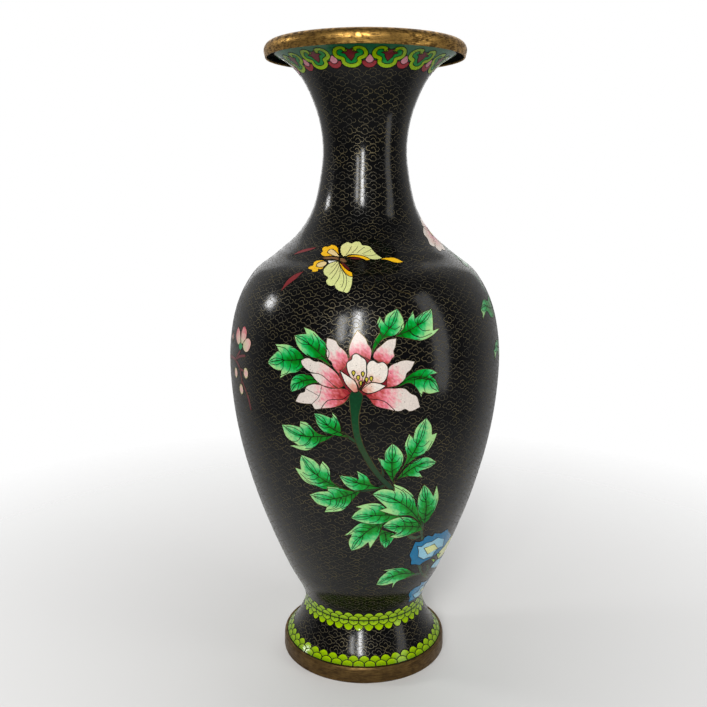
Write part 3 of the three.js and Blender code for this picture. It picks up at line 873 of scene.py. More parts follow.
PEONY_AT = (-2.3, 192)
PETAL_FADE = [
    (0, 0x820F1E), (0.15, 0x9A2028), (0.28, 0xC45450), (0.42, 0xE87E90), (0.56, 0xE6BCB8), (0.66, 0xE0D4CA),
]
INNER_FADE = [(0, 0xA8483C), (0.22, 0xD28674), (0.42, 0xE4BCA8), (0.6, 0xEAE0D4)]
OUTER_PETALS = [  # outline, root and tip of its fading, level
    ([(-1.5, 34), (3, 29.5), (4, 27), (6, 23.5), (5.5, 18), (0.5, 20.5), (-2, 21.5), (-5.5, 19.5),
      (-6, 23.5),
      (-5, 27.5)], (0.5, 16.5), (-1.5, 34), 1),
    ([(-18, 29.5), (-13, 28), (-11.5, 25.5), (-8.5, 23), (-6.5, 19.5), (-7, 15.5), (-11.5, 10.5),
      (-14.5, 14),
      (-15.5, 16.5), (-17.5, 18.5), (-18.5, 23.5)], (-6, 11), (-18, 29.5), 1),
    ([(19.5, 29.5), (14.5, 28.5), (11.5, 26), (8.5, 23.5), (7, 19.5), (8.5, 18), (15, 16), (17, 18.5),
      (18.5, 20), (18, 22.5), (19, 25)], (9, 13), (19.5, 29.5), 1),
    ([(-12, 2.5), (-15.5, 5), (-21.5, 9.5), (-27.5, 10.5), (-32, 13.5), (-33, 16), (-31, 17.5), (-28.5, 18),
      (-25, 16.5), (-22.5, 16.5), (-17.5, 14.5), (-12, 10), (-8.5, 4)], (-6, 0), (-33, 16), 2),
    ([(-27.5, 10), (-21.5, 9.5), (-15.5, 5), (-12, 2.5), (-17.5, 2.5), (-23.5, 5.5)], (-9, 1),
      (-27.5, 10), 2),
    ([(14.5, 3), (14.5, 7.5), (15.5, 14), (20, 16.5), (24, 17.5), (30, 16.5), (27.5, 12), (25.5, 10.5),
      (24.5, 7.5), (20, 4)], (10, 1), (30, 16.5), 1),
    ([(-5, 0), (-7, 2), (-14.5, 2.5), (-20.5, 3.5), (-23.5, 4), (-27.5, 3.5), (-30.5, 1.5), (-31, -0.5),
      (-34, -2), (-37, -7), (-33.5, -7.5), (-29.5, -7.5), (-27, -7.5), (-25, -10), (-21.5, -9.5),
      (-13.5, -8),
      (-8, -5)], (-3, -1), (-36, -3), 2),
    ([(3, -1), (5, -3), (7.5, -6.5), (15, -9), (22, -10.5), (24.5, -9.5), (27.5, -11), (33.5, -9),
      (31, -2.5),
      (28, -1), (24.5, 2), (18.5, 2.5), (12.5, 2.5), (7, 0.5)], (1, 0), (33, -8), 2),
]
INNER_PETALS = [
    ([(-0.5, 2), (-1.5, 5), (-5.5, 9.5), (-7, 13.5), (-7, 16.5), (-4.5, 18.5), (-4, 20.5), (-2, 21.5),
      (0.5, 20), (3, 18), (3.5, 14.5), (3.5, 10.5)], (-0.5, 0), (-2, 21.5), 3),
    ([(2.5, 4.5), (3.5, 10.5), (3.5, 14.5), (4.5, 17), (7, 18), (9.5, 16.5), (12, 17), (14.5, 15),
      (15, 11.5),
      (13.5, 7), (11.5, 5.5), (7.5, 6)], (3, 0), (11, 18), 3),
    ([(-11, 12.5), (-6.5, 9.5), (-3, 7), (-1.5, 4), (-1, 1), (-3, 0.5), (-5.5, 2.5), (-8, 5.5), (-9.5, 9)],
     (-1, -1.5), (-11, 12.5), 4),
    ([(1.5, 1), (0.5, 2.5), (3, 5), (6, 6), (10, 5.5), (14, 4), (10, 1.5), (5, 0)], (0, 0), (14, 5), 4),
]
PEONY_HEART = [
    (3.5, -1), (-5.5, -0.5), (-8.5, 3.5), (-11.5, 10.5), (-6, 19.5), (0.5, 20.5), (5.5, 18), (8.5, 17.5),
    (15, 16), (14.5, 7.5), (14.5, 3), (11.5, 2),
]
STAMENS = [(-3.5, 11), (-1, 8.5), (1.5, 10.5), (0.5, 5.5), (3.5, 7.5), (6, 8)]
STAMEN_ROOT = (0.2, 1.5)
STAMEN_LEVEL = 5
FILAMENT = 0.3
POLLEN = 0xC8B838
stamen_drop = np.array([(0, -1.6), (-0.85, 0.1), (-0.75, 1.0), (0, 1.4), (0.75, 1.0), (0.85, 0.1)])
PETAL_FOLDS = [  # path, level, width
    ([(-21, 3), (-22.5, -2.5), (-27, -7.5)], 2, 0.3), ([(-22.5, -2.5), (-25.5, -1), (-30.5, 1)], 2, 0.26),
    ([(-21.5, -9.5), (-17.5, -4.5), (-9.5, -3.5), (-5.5, -0.5)], 2, 0.42),
    ([(5.5, -3), (13, -4.5), (19, -10)], 2, 0.42),
]


def peony(name, origin, nodes_heart, nodes_petals, bearing=0.0, side=1):
    """The whole flower: its deep red heart, outer and inner petals, folds and stamens."""
    dark_heart = fading((2, 5), (0, 22), [(0, 0x6A0A16), (1, 0x8A1424)])
    inlay(
        name + "_heart", origin, [(drawn(PEONY_HEART), dark_heart, 0, "dark")], [],
        nodes_heart, petal_enamel, bearing, side,
    )
    cells = []
    for petals, stops, edge in ((OUTER_PETALS, PETAL_FADE, "gilt"), (INNER_PETALS, INNER_FADE, "dark")):
        for points, root, tip, level in petals:
            cells.append((drawn(points), fading(root, tip, stops), level, edge))
    cells += [(drawn(stamen_drop + tip), plain(POLLEN), STAMEN_LEVEL, "dark") for tip in STAMENS]
    filaments = [
        ([STAMEN_ROOT, (x * 0.6 + 0.1, y * 0.5 + 0.4), (x, y - 2)],
          STAMEN_LEVEL, FILAMENT) for x, y in STAMENS
    ]
    inlay(
        name, origin, cells, PETAL_FOLDS + filaments, nodes_petals, petal_enamel,
        bearing, side,
    )


# Petal enamel: opaque white, pink and red ground glass, grainier than the greens.
petal_enamel = polished_cells("petal_enamel_pink_polished", roughness=0.3, speckle_mm=0.8)
peony("peony", PEONY_AT, ["peony_heart"], ["peony_petals"])


# ---- Leaves round the peony ------------------------------------------------------------------------
# Lobed leaves in several greens, dark at the root and pale at the tips, with veins of tarnished wire
# soldered on the copper inside each cell.
LEAF_FADE = [
    (0, 0x006410), (0.3, 0x007E18), (0.48, 0x00A038), (0.62, 0x18B45C), (0.78, 0x60C87E), (1.0, 0xA6DA8E),
]
TIP_PALENESS = 0.84  # share of the fading that a tip has run through, on top of what its lobe adds
TIP_POWER = 1.5
LOBE_FADE = 12  # mm from the midrib over which the fading runs through
MIDRIB_WIDTH = 0.46
VEIN_WIDTH = 0.38
VEIN_SWAY = 0.2
SHORTEST_LOBE = 2.6  # mm from the midrib: a lobe nearer than this has no vein
LONG_LOBE = 6  # mm: a lobe that reaches further has a second vein, higher and shorter
TIP_SHARE = 0.8  # a lobe that leaves the midrib past this share belongs to the tip
LOBE_VEINS = ((0.2, 50, 0.88), (0.04, 90, 0.66))  # start below the lobe, mm for 1 more, reach
TIP_VEIN_GAP = 1.9  # mm between the midrib and the veins that run beside it to the tip


def nearest_on(path, point):
    """Share along a path of its point nearest to a given point."""
    gaps = np.linalg.norm(path - point, axis=1)
    return gaps.argmin() / (len(path) - 1)


def leaf_rule(midrib):
    """Leaf colour: paler along the midrib towards the tip and away from it towards the lobes, and mottled."""
    rib = drawn(midrib, closed=False)
    ends = np.linspace(0, 1, len(rib))

    def rule(flat):
        gaps = np.linalg.norm(flat[:, None] - rib[None], axis=-1)
        nearest = gaps.argmin(1)
        share = TIP_PALENESS * ends[nearest] ** TIP_POWER + gaps.min(1) / LOBE_FADE
        share += 0.1 * cloudiness(flat * 0.8) + 0.06 * speckle(flat)
        return ramp(share, LEAF_FADE)

    return rule


def leaf_veins(points, midrib, level):
    """The midrib, a long vein into each lobe, a shorter one above it in a big lobe, and two by the tip.

    A side vein leaves the midrib well below its lobe, bulges towards the root and stops short of the edge.
    """
    rib = drawn(midrib, closed=False, steps=8)
    last = len(rib) - 1
    veins = [(midrib, level, MIDRIB_WIDTH)]
    outline = np.asarray(points, float)
    arriving, leaving = outline - np.roll(outline, 1, 0), np.roll(outline, -1, 0) - outline
    bend = arriving[:, 0] * leaving[:, 1] - arriving[:, 1] * leaving[:, 0]
    following = np.roll(outline, -1, 0)
    area = (outline[:, 0] * following[:, 1] - outline[:, 1] * following[:, 0]).sum()
    for point in outline[bend * area > 0][1:]:
        share = nearest_on(rib, point)
        gap = np.linalg.norm(rib[round(share * last)] - point)
        if gap < SHORTEST_LOBE or share > TIP_SHARE:
            continue
        foot = rib[round(share * last)]
        for below, growth, reach in LOBE_VEINS:
            start = rib[round(max(share - below - gap / growth, 0.05) * last)]
            end = foot + reach * (point - foot)
            across = np.array([start[1] - end[1], end[0] - start[0]])
            rootward = np.sign(np.dot(across, rib[0] - start)) or 1.0
            bulge = (start + end) / 2 + VEIN_SWAY * rootward * across
            veins.append(([start, bulge, end], level, VEIN_WIDTH))
            if gap < LONG_LOBE:
                break
    tip_start, tip = rib[round(0.55 * last)], rib[last]
    beside = TIP_VEIN_GAP * np.array([tip_start[1] - tip[1], tip[0] - tip_start[0]])
    beside /= np.linalg.norm(tip - tip_start)
    for side in (-1, 1):
        middle = 0.5 * (tip_start + tip) + side * beside
        end = tip + 0.12 * (tip_start - tip) + 0.4 * side * beside
        veins.append(([tip_start, middle, end], level, VEIN_WIDTH))
    return veins


def leaves(name, origin, shapes, nodes, bearing=0.0, side=1):
    """A group of leaves, each given as its outline and its midrib, later ones lying over earlier ones."""
    cells, veins = [], []
    for level, (points, midrib) in enumerate(shapes):
        cells.append((drawn(points), leaf_rule(midrib), level, "gilt"))
        veins += leaf_veins(points, midrib, level)
    inlay(name, origin, cells, veins, nodes, leaf_enamel, bearing, side)


# Leaf enamel: several transparent-looking greens packed wet side by side, so the colours run together.
leaf_enamel = polished_cells("leaf_enamel_green_polished", speckle_mm=0.9)
LEFT_LEAVES = [
    ([(-23, 5), (-28.5, 3.5), (-33.5, 0.5), (-40, -2), (-40, 2), (-39, 5.5), (-36, 8), (-30.5, 9),
      (-26.5, 8)],
     [(-24, 6.5), (-31, 5.5), (-36, 3), (-40, -2)]),
    ([(-28.5, 15.5), (-36, 9.5), (-40.5, 8.5), (-47, 5), (-46, 9.5), (-50.5, 9.5), (-56.5, 12.5),
      (-54, 15.5),
      (-48, 20.5), (-50.5, 23.5), (-40.5, 24), (-33.5, 20.5)], [(-30, 17.5), (-38, 16), (-47, 15),
      (-56, 12.6)]),
    ([(-16, 14.5), (-21.5, 17.5), (-30, 19.5), (-35, 23.5), (-37.5, 29.5), (-33.5, 30.5), (-30, 31),
      (-31.5, 34.5), (-25.5, 32.5), (-21.5, 29), (-18.5, 26), (-18.5, 19)],
     [(-17, 16.5), (-24, 22.5), (-30, 26.5), (-37, 29.3)]),
]
TOP_LEAVES = [
    ([(6, 20.5), (7.5, 28), (10.5, 33.5), (9, 38), (10.5, 41.5), (12.5, 38), (14, 42), (20, 45.5),
      (23, 40.5),
      (23.5, 34.5), (18.5, 31), (13, 29.5), (8.5, 25)], [(7, 21.5), (12, 30), (17, 37), (20, 45)]),
    ([(19, 30.5), (23, 34), (26, 39.5), (29, 44), (30, 39.5), (34.5, 42.5), (40.5, 44.5), (41, 37.5),
      (41, 32.5), (45.5, 33.5), (41, 30), (33.5, 27.5), (26.5, 29)], [(20, 31), (27, 33.5),
      (34, 37.5), (40.5, 44)]),
]
RIGHT_LEAVES = [
    ([(18.5, 3), (24.5, 7.5), (31, 11.5), (36.5, 12), (41, 11), (44, 9), (39, 8.5), (43, 5), (45.5, -1.5),
      (39, -2), (35, -0.5), (34, -3.5), (31.5, 1.5), (27, 5), (21.5, 3.5)],
     [(20, 3.5), (29, 8), (37, 7), (42, 3.5), (45, -1)]),
]
leaves("left_leaves", PEONY_AT, LEFT_LEAVES, ["flower_leaves_left"])
leaves("top_leaves", PEONY_AT, TOP_LEAVES, ["flower_leaves_top"])
leaves("right_leaves", PEONY_AT, RIGHT_LEAVES, ["flower_leaves_right"])


# ---- Peony stem and its leaves ---------------------------------------------------------------------
# A stem in brown-green enamel runs down from the flower and branches into leaves on short twigs.
STEM_AT = (0, 140)
STEM_FADE = [(0, 0x083A1E), (0.3, 0x0E4826), (0.55, 0x2A4226), (1.0, 0x163A22)]
STEM_LINE = [(-4.5, 50), (-5, 36.5), (-3, 24.5), (2, 13.5), (8, 3.5), (15.5, -5.5)]
stem_rule = fading((-4.5, 50), (15.5, -5.5), STEM_FADE)
TWIGS = [
    [(-3.5, 23.5), (-8, 26.5), (-12.5, 29.5)], [(10, 1.5), (10.5, 6), (9.5, 10)], [(12, -3), (4, -6),
    (-8, -7)],
]
# Stem enamel: dark green and brown ground together, so it looks duller than the leaves.
stem_enamel = polished_cells("stem_enamel_brown_green_polished", speckle_mm=1.1)
stem_cells = [(stroke(twig, 2.0, 1.2), stem_rule, 0, "gilt") for twig in TWIGS]
stem_cells.append((stroke(STEM_LINE, 7.6, 4.2, 3.7, 3.5, 3.3, 3.1, 2.9), stem_rule, 1, "gilt"))
inlay("stem", STEM_AT, stem_cells, [], ["peony_stem"], stem_enamel)
UPPER_LEAVES = [
    ([(-8, 26.5), (-16.5, 27.5), (-22, 29), (-26, 33), (-28, 39.5), (-24.5, 39.5), (-17.5, 37.5),
      (-17.5, 41),
      (-15, 38), (-13, 33), (-12.5, 30)], [(-10, 28), (-17, 31), (-22, 34.5), (-28, 39)]),
    ([(-16.5, 27.5), (-20.5, 24.5), (-25.5, 22), (-29, 18.5), (-34, 16.5), (-44, 18), (-38.5, 19.5),
      (-46, 23),
      (-49, 30), (-42, 31), (-37, 30.5), (-36.5, 34), (-32, 33.5), (-28, 29.5), (-24.5, 27.5)],
     [(-18, 27.2), (-27, 25.8), (-36, 25.5), (-48, 29.5)]),
]
MIDDLE_LEAVES = [
    ([(-8.5, -6.5), (-21, -7), (-29.5, -5.5), (-35, -3.5), (-38.5, 0.5), (-41, 4.5), (-37, 4), (-37.5, 9),
      (-36.5, 13.5), (-29, 11.5), (-25, 8), (-23.5, 11.5), (-19.5, 7), (-18.5, -1)],
     [(-9, -5.8), (-20, -2.5), (-29, 3.5), (-36.5, 13)]),
    ([(10.5, -5), (2.5, -5.5), (-5, -6.5), (-10.5, -3), (-14, 3), (-8, 3), (-3, 1), (-4, 6.5), (2, 2.5),
      (4, -2)], [(9, -4.5), (1, -2.5), (-6, -0.5), (-13.5, 2.7)]),
    ([(-2, -7), (-6.5, -13), (-12.5, -20.5), (-17.5, -22), (-23, -23), (-21.5, -19), (-27.5, -17.5),
      (-32, -12), (-26, -9), (-20.5, -8), (-21, -5), (-14.5, -5), (-8.5, -6.5)],
     [(-4, -7.5), (-12, -11), (-20, -13.5), (-31, -12.3)]),
]
STEM_RIGHT_LEAVES = [
    ([(17, -2.5), (20, 2.5), (25, 8.5), (31.5, 12), (37.5, 12), (43, 8), (39, 5.5), (31.5, 4), (34, -0.5),
      (25, 1.5), (20, 0.5)], [(18, -1), (25, 5), (33, 8.5), (42.5, 8)]),
    ([(18.5, 2), (23, 10.5), (24, 14.5), (22.5, 21), (25, 28), (27.5, 25), (29, 31), (35, 36.5),
      (38.5, 31.5),
      (39, 26), (42.5, 26.5), (40.5, 21.5), (36.5, 16), (29.5, 13), (23, 8)],
     [(19.5, 3), (26, 13), (31, 22.5), (35, 36)]),
    ([(17, -2.5), (14.5, 1.5), (12, 6), (9.5, 9.5), (7.5, 14.5), (11.5, 13), (11.5, 18), (15.5, 23),
      (19.5, 19.5), (22, 14), (20, 7), (17, 2)], [(16.5, -1), (15.5, 7), (15.5, 15), (15.5, 22.5)]),
]
LOW_LEAVES = [
    ([(11, -29), (9, -37.5), (7, -41.5), (3.5, -48.5), (2.5, -43.5), (-2, -48), (-7.5, -50.5), (-9, -44),
      (-7, -37.5), (-11.5, -39), (-7.5, -34.5), (-2, -29), (4.5, -28.5)],
     [(9, -29.5), (3, -34), (-2, -40), (-7.3, -50)]),
    ([(10, -34), (16, -37), (19.5, -38.5), (17, -42.5), (15.5, -45.5), (12.5, -49), (10, -45), (9, -38.5)],
     [(12, -36), (13, -42), (12.5, -48.5)]),
    ([(22.5, -25.5), (11, -29.5), (3, -29.5), (-3.5, -27.5), (-7.5, -25.5), (-5, -21.5), (-1.5, -18.5),
      (-5, -17.5), (2.5, -15), (9, -15.5), (14, -20.5)], [(21, -24.5), (11, -23.5), (2, -24), (-7, -25.3)]),
    ([(36, -38.5), (28, -40), (19.5, -41.5), (15, -40), (19.5, -37.5), (13.5, -34), (10.5, -31.5),
      (15, -27.5), (21.5, -26), (28.5, -28), (33.5, -32.5)], [(34.5, -36), (26, -33.5), (18, -32.5),
      (11, -31.6)]),
    ([(36, -35.5), (27.5, -26), (19, -24.5), (8.5, -20), (13, -18.5), (7.5, -12), (4.5, -8.5), (10, -5.5),
      (17.5, -7), (16.5, -2.5), (22.5, -5.5), (28, -11), (30.5, -18.5), (33, -26.5)],
     [(34.5, -33), (27, -21.5), (17, -13), (5, -8.5)]),
    ([(36.5, -34), (33, -27.5), (31.5, -19), (32, -12), (35, -5), (39, -9.5), (42, -15), (44, -7.5),
      (46, -17), (44, -25), (39.5, -32)], [(37, -32), (37.5, -22), (36.5, -14), (35, -5.5)]),
]
leaves("upper_stem_leaves", STEM_AT, UPPER_LEAVES, ["stem_leaves_upper"])
leaves("middle_stem_leaves", STEM_AT, MIDDLE_LEAVES, ["stem_leaves_middle"])
leaves("right_stem_leaves", STEM_AT, STEM_RIGHT_LEAVES, ["stem_leaves_right"])
leaves("low_stem_leaves", STEM_AT, LOW_LEAVES, ["lower_leaves"])


# ---- Blue flowers ----------------------------------------------------------------------------------
# Two blue flowers low on the right, each a dark blue rim, a light blue inside and a pale yellow eye,
# with a cream one beside the upper flower and a leaf on their own stem.
BLUE_AT = (34, 78)
# Blue enamel: opaque and even, its blues kept apart by the wires.
blue_enamel = polished_cells("blue_enamel_polished", speckle_mm=1.0)
deep_blue = fading((10, 4), (36, 8), [(0, 0x006A98), (1, 0x0078A6)])
light_blue = fading((10, 4), (24, 10), [(0, 0xA4D4E4), (1, 0x84C2DC)])
pale_yellow = plain(0xE0E6A0)
BLUE_CELLS = [
    ([(-6, 4.5), (-4, 10.5), (-2.5, 15), (0.5, 14), (3, 14.5), (4, 16.5), (7, 17.5), (10.5, 15.5),
      (12, 17.5),
      (18.5, 15), (24.5, 16), (33, 7), (36.5, -2.5), (25.5, -4), (16, -3.5), (9, -5), (5, -5.5), (2.5, -7),
      (-1, -5), (-4.5, -4), (-4.5, 0.5)], deep_blue, 0),
    ([(-0.5, 10.5), (2.5, 9.5), (6, 11.5), (10.5, 11), (15.5, 12.5), (23, 8), (23.5, 1), (17.5, 2),
      (14.5, 0),
      (13, -3.5), (10, -2.5), (5, -2.5), (0.5, 1.5), (0.5, 6)], light_blue, 1),
    ([(21, -10), (26, -12), (33, -12), (40, -11), (42, -17), (36, -22), (27, -21), (19, -18), (13.5, -14.5),
      (16.5, -12)], light_blue, 0),
    ([(20, -3), (26, -0.5), (33, 4), (40, 3), (44, -4), (38, -10), (29, -10.5), (21, -10)], pale_yellow, 1),
    ([(17.5, -3), (22.5, -5), (20.5, -9)], plain(0x9CC83C), 2),
    ([(12.5, -5.5), (17, -8), (16, -10.5)], plain(0x9CC83C), 2),
]
inlay(
    "upper_blue_flower", BLUE_AT,
    [(np.array(points, float), rule, level, "dark") for points, rule, level in BLUE_CELLS],
    [], ["blue_flower"], blue_enamel,
)
flower_eye = np.array([(4.5, 7.5), (13, 8), (17.5, 2), (8, 1)], float)
inlay(
    "blue_flower_eye", BLUE_AT, [(flower_eye, pale_yellow, 3, "dark")], [],
    ["blue_flower_heart"], blue_enamel,
)
SMALL_BLUE_CELLS = [
    ([(-3.5, -33.5), (0.5, -29), (6.5, -29), (6.5, -25.5), (13.5, -28.5), (20, -27.5), (26, -31), (28, -37),
      (24, -43), (14, -43.5), (5, -43.5), (-3, -43), (-2, -40)], deep_blue, 0),
    ([(0.5, -37), (6, -36), (8, -32.5), (14, -33.5), (20, -33), (22, -38), (16, -42.5), (5, -43)],
      light_blue, 1),
    ([(9, -36.5), (15, -36), (16, -40), (10, -40.5)], pale_yellow, 2),
]
inlay(
    "lower_blue_flower", BLUE_AT,
    [(drawn(points), rule, level, "dark") for points, rule, level in SMALL_BLUE_CELLS], [],
    ["small_blue_flower"], blue_enamel,
)
BLUE_STEMS = [
    [(1, -4), (3, -9.5), (5, -15.5), (13, -24)], [(5, -15.5), (-1, -14.5), (-5, -15)], [(9, -19),
    (11, -14), (9.5, -10)],
    [(2, 28), (1.5, 22), (2.5, 16)], [(-6.5, 20), (-2.5, 18), (2, 19)],
]
stem_green = plain(0x33523C)
inlay(
    "blue_flower_stem", BLUE_AT, [(stroke(line, 2.6, 2.0), stem_green, -1, "gilt") for line in BLUE_STEMS],
    [], [], stem_enamel,
)
BLUE_LEAF = [
    ([(-0.5, -13.5), (-8, -15.5), (-13.5, -17), (-16.5, -23), (-16, -17.5), (-21.5, -18.5), (-26.5, -17.5),
      (-24, -11), (-19.5, -6), (-23, -5), (-16.5, -4.5), (-9, -5.5), (-4, -10)],
     [(-2, -12.5), (-10, -10.5), (-18, -12), (-26, -17)]),
]
leaves("blue_flower_side_leaf", BLUE_AT, BLUE_LEAF, ["blue_flower_leaf"])


# ---- Butterfly -------------------------------------------------------------------------------------
# A butterfly in flight on the shoulder: pale yellow wings with gold and maroon borders, a brown body,
# and antennae of bare wire that trail in loops.
BUTTERFLY_AT = (-13, 270)
WING_VEIN = 0.3
ANTENNA_WIDTH = 0.4
# Butterfly enamel: opaque pale yellow, gold and maroon, finely grained.
wing_glass = polished_cells("butterfly_enamel_polished", speckle_mm=0.8)
pale_wing = fading((0, 3), (14, 14), [(0, 0xE0D888), (0.5, 0xE2E098), (1, 0xD8DE92)])
gold = fading((0, 0), (14, 8), [(0, 0xF0AC10), (1, 0xFCC41C)])
peach = plain(0xECD092)
maroon = plain(0x5A1C20)
streak_red = plain(0x802A2E)
UPPER_WING_CELLS = [
    ([(1, 3), (-0.5, 5.5), (-1, 8.5), (-0.5, 12), (1.5, 14), (3.5, 15), (5.5, 14), (7, 15), (8.5, 15.5),
      (10.5, 15), (12, 12.5), (13.5, 12.5), (16, 11.5), (17.5, 9), (19, 6.5), (20.5, 4.5), (23, 2.5),
      (21.5, 1.5), (19, 1), (16, 1.5), (14, 3), (10.5, 4.5), (5.5, 5), (2, 3.5)], pale_wing, 1),
    ([(1.5, 3), (5.5, 4.5), (10.5, 4.5), (14, 3), (16.5, 1), (14, 0.5), (12, 1.5), (8, 3)], gold, 1),
    ([(3, 2), (7, 3), (11, 2), (12, 1), (8, 1), (5, 1.5)], maroon, 1),
    ([(21.2, 1.3), (23.5, 2.2), (26.5, 2.5), (29, 2.5), (31.5, 1.5), (35.5, -1.5), (32, -2),
      (28.5, -1), (25.5, 0.5)], gold, 1),
    ([(-12.5, 4), (-13, 5.5), (-12, 7), (-12.5, 9), (-11, 11), (-9.5, 11), (-8, 11.5), (-6.5, 12.5),
      (-4, 12),
      (-2.5, 10.5), (-2, 7.5), (-1.5, 4.5), (-1.5, 3), (-6.5, 3.5), (-10, 3)], gold, 0),
    ([(-1, 3), (-3.5, 7), (-6, 9), (-8, 8), (-8.5, 6), (-7, 5), (-4.5, 3.5)], peach, 1),
]
LOWER_WING_CELLS = [
    ([(-20.5, -7.5), (-19.5, -5.5), (-17.5, -4.5), (-17, -2), (-15, -0.5), (-12, 0), (-10, -0.5),
      (-8.5, -2),
      (-10, -5.5), (-11.5, -7.5), (-13.5, -7.5), (-13.5, -9), (-15.5, -10), (-17.5, -10), (-17.5, -8.5),
      (-19.5, -8)], gold, 0),
    ([(-15, -5.5), (-14.5, -3), (-12.5, -1.5), (-9.5, -1), (-8.5, -2), (-10, -5), (-12.5, -6)], peach, 1),
    ([(-8.5, 0), (-2.5, 0), (-3, -1.5), (-7.5, -2.5)], plain(0xE8E6DC), 1),
    ([(-1.5, -0.5), (-4, -1), (-7.5, -3), (-9.5, -6), (-10.5, -9), (-9.5, -12), (-7.5, -14), (-8.5, -16),
      (-8, -18), (-6, -19.5), (-3.5, -19), (-3, -20.5), (-1.5, -22), (1.5, -23), (3.5, -23.5), (5, -22),
      (6, -19), (6.5, -14.5), (6.5, -13), (2.5, -10.5), (0, -6), (-1.5, -1.5)], pale_wing, 2),
    ([(-1.5, -1), (-0.5, -2), (1.5, -5), (4, -8), (6, -9.5), (6.5, -11), (6.5, -13), (4, -12), (2, -9.5),
      (0, -5.5)], gold, 3),
    ([(-0.5, -1), (1, -1.5), (3.5, -4.5), (5, -7), (4.5, -8.5), (2.5, -6.5), (0.5, -3.5)], maroon, 4),
]
BODY_CELLS = [
    ([(-12.5, 1.5), (-9.5, 2.5), (-6.5, 3), (-1.5, 2.5), (-1.5, 0), (-6, 1), (-8.5, 0.5)],
      plain(0x7A5838), 2),
    ([(-1, 2), (1, 2), (3, 0), (3.5, -1), (1, -1.5), (-1, 0)], plain(0x7A5838), 2),
    ([(-35.5, 2), (-31, 5.5), (-24, 8.5), (-15.5, 10.5), (-19, 8), (-27, 4.8)], streak_red, 0),
    ([(-38.5, -25.5), (-34.5, -18), (-29, -12.8), (-22.5, -9.5), (-27, -15.5), (-33.5, -21)],
      streak_red, 0),
]
UPPER_VEINS = [
    [(2.5, 4.5), (4.5, 8.5), (5.5, 11.5)], [(5.5, 6), (8, 9), (9, 11.5)], [(8.5, 6), (10.5, 8.5), (13, 11)],
    [(11.5, 5.5), (14.5, 7.5), (17, 9.5)], [(12, 5), (15, 4), (19.5, 5)],
]
LOWER_VEINS = [
    [(-2, -0.5), (-6, -6)], [(-1.5, -1.5), (-4, -7.5), (-6.5, -11.5)], [(-1, -3.5), (-3, -10.5),
    (-5.5, -15)],
    [(-0.5, -4.5), (-1, -13.5), (-3.5, -18.5)], [(0, -7.5), (1.5, -12.5), (1.5, -16.5), (0.5, -20)],
    [(1, -8), (3, -12.5), (3, -18.5), (1.5, -22.5)],
]
ANTENNAE = [
    [(6.5, -2), (10.5, -5), (15, -9), (18, -14), (18.5, -18.5), (16.5, -21), (14, -21.5), (12.5, -19.5),
     (13, -17.5), (14.5, -17), (15.5, -18.5), (14, -19.5)],
    [(8.5, -2), (15, -4.5), (19.5, -7), (23, -11.5), (26, -17.5), (30, -21.5), (38.5, -24.5)],
]


def butterfly_part(name, cells, veins, level, nodes):
    """A part of the butterfly: its cells inside dark wires, and veins on them."""
    inlay(
        name, BUTTERFLY_AT, [(drawn(points), rule, depth, "dark") for points, rule, depth in cells],
        [(vein, level, WING_VEIN) for vein in veins], nodes, wing_glass,
    )


butterfly_part("butterfly_upper_pair", UPPER_WING_CELLS, UPPER_VEINS, 1, ["butterfly_upper_wings"])
butterfly_part("butterfly_lower_pair", LOWER_WING_CELLS, LOWER_VEINS, 2, ["butterfly_lower_wings"])
butterfly_part("butterfly_trunk", BODY_CELLS, [], 0, ["butterfly_body"])
inlay(
    "butterfly_antennae", BUTTERFLY_AT, [], [(line, 0, ANTENNA_WIDTH) for line in ANTENNAE], [],
    wing_glass, line_metal="gilt",
)


# ---- Plum branch on the left -----------------------------------------------------------------------
# A maroon plum branch climbs the left side, with one open blossom and round buds.
PLUM_AT = (-87, 210)
PINK_FADE = [(0, 0xC4CC98), (0.42, 0xE6C6B6), (0.76, 0xE09A98), (1.0, 0xCC5466)]
PLUM_PETALS = [
    ([(0, -0.5), (-6, 0.5), (-9, 4), (-8.5, 7), (-6, 10), (-2.5, 8), (-1, 4.5)], (0, 0), (-8, 9)),
    ([(0.5, 0), (0, 4), (0.5, 8.5), (3.5, 11.5), (7, 9.5), (7, 5.5), (4, 2.5)], (1, 0), (5, 11)),
    ([(3, 0.5), (5.5, 4), (9.5, 5.5), (12.5, 4), (12, 1), (8.5, -2.5), (4.5, -2)], (2, 0), (18, 4)),
    ([(-20.5, 2), (-17, 5.5), (-15, 0)], (-14, 0), (-22, 3)),
]
PLUM_EYE = [(-3, -0.5), (0, 1.5), (3, 0), (0.5, -2.5), (-2.5, -2)]
blossom_cells = [
    (drawn(points), fading(root, tip, PINK_FADE), 1, "gilt") for points, root, tip in PLUM_PETALS
]
blossom_cells.append((drawn(PLUM_EYE), plain(0x1E9A5A), 2, "gilt"))
inlay("plum_flower", PLUM_AT, blossom_cells, [], ["plum_blossom"], petal_enamel)
PLUM_TWIGS = [
    [(-24.5, -10.5), (-8.5, -10), (-1, -14), (1, -19.5), (7.5, -27)], [(-8.5, -9.5), (-1, -6.5), (6, -5)],
    [(-8.5, -9.5), (-4, -6), (-1, -3.5)], [(-1, -14), (1.5, -14), (3.5, -14)], [(1, -19.5), (0.5, -22)],
    [(7.5, -27), (9.5, -31), (11, -36)],
]
plum_bark = plain(0x703038)
BUD_SIZE = (2.8, 3.3)
bud = arc((0, 0), BUD_SIZE, 0, 340, 12)
BUDS = [(-8, -17.5), (7, -15), (0, -26)]
bud_fade = fading((0, 0), (0, BUD_SIZE[1]), [(0, 0xE8B4B4), (0.6, 0xE6C0B0), (0.95, 0xC4D08C)])


def bud_rule(at):
    """The fading of a bud, moved to where the bud is."""
    return lambda flat: bud_fade(flat - at)


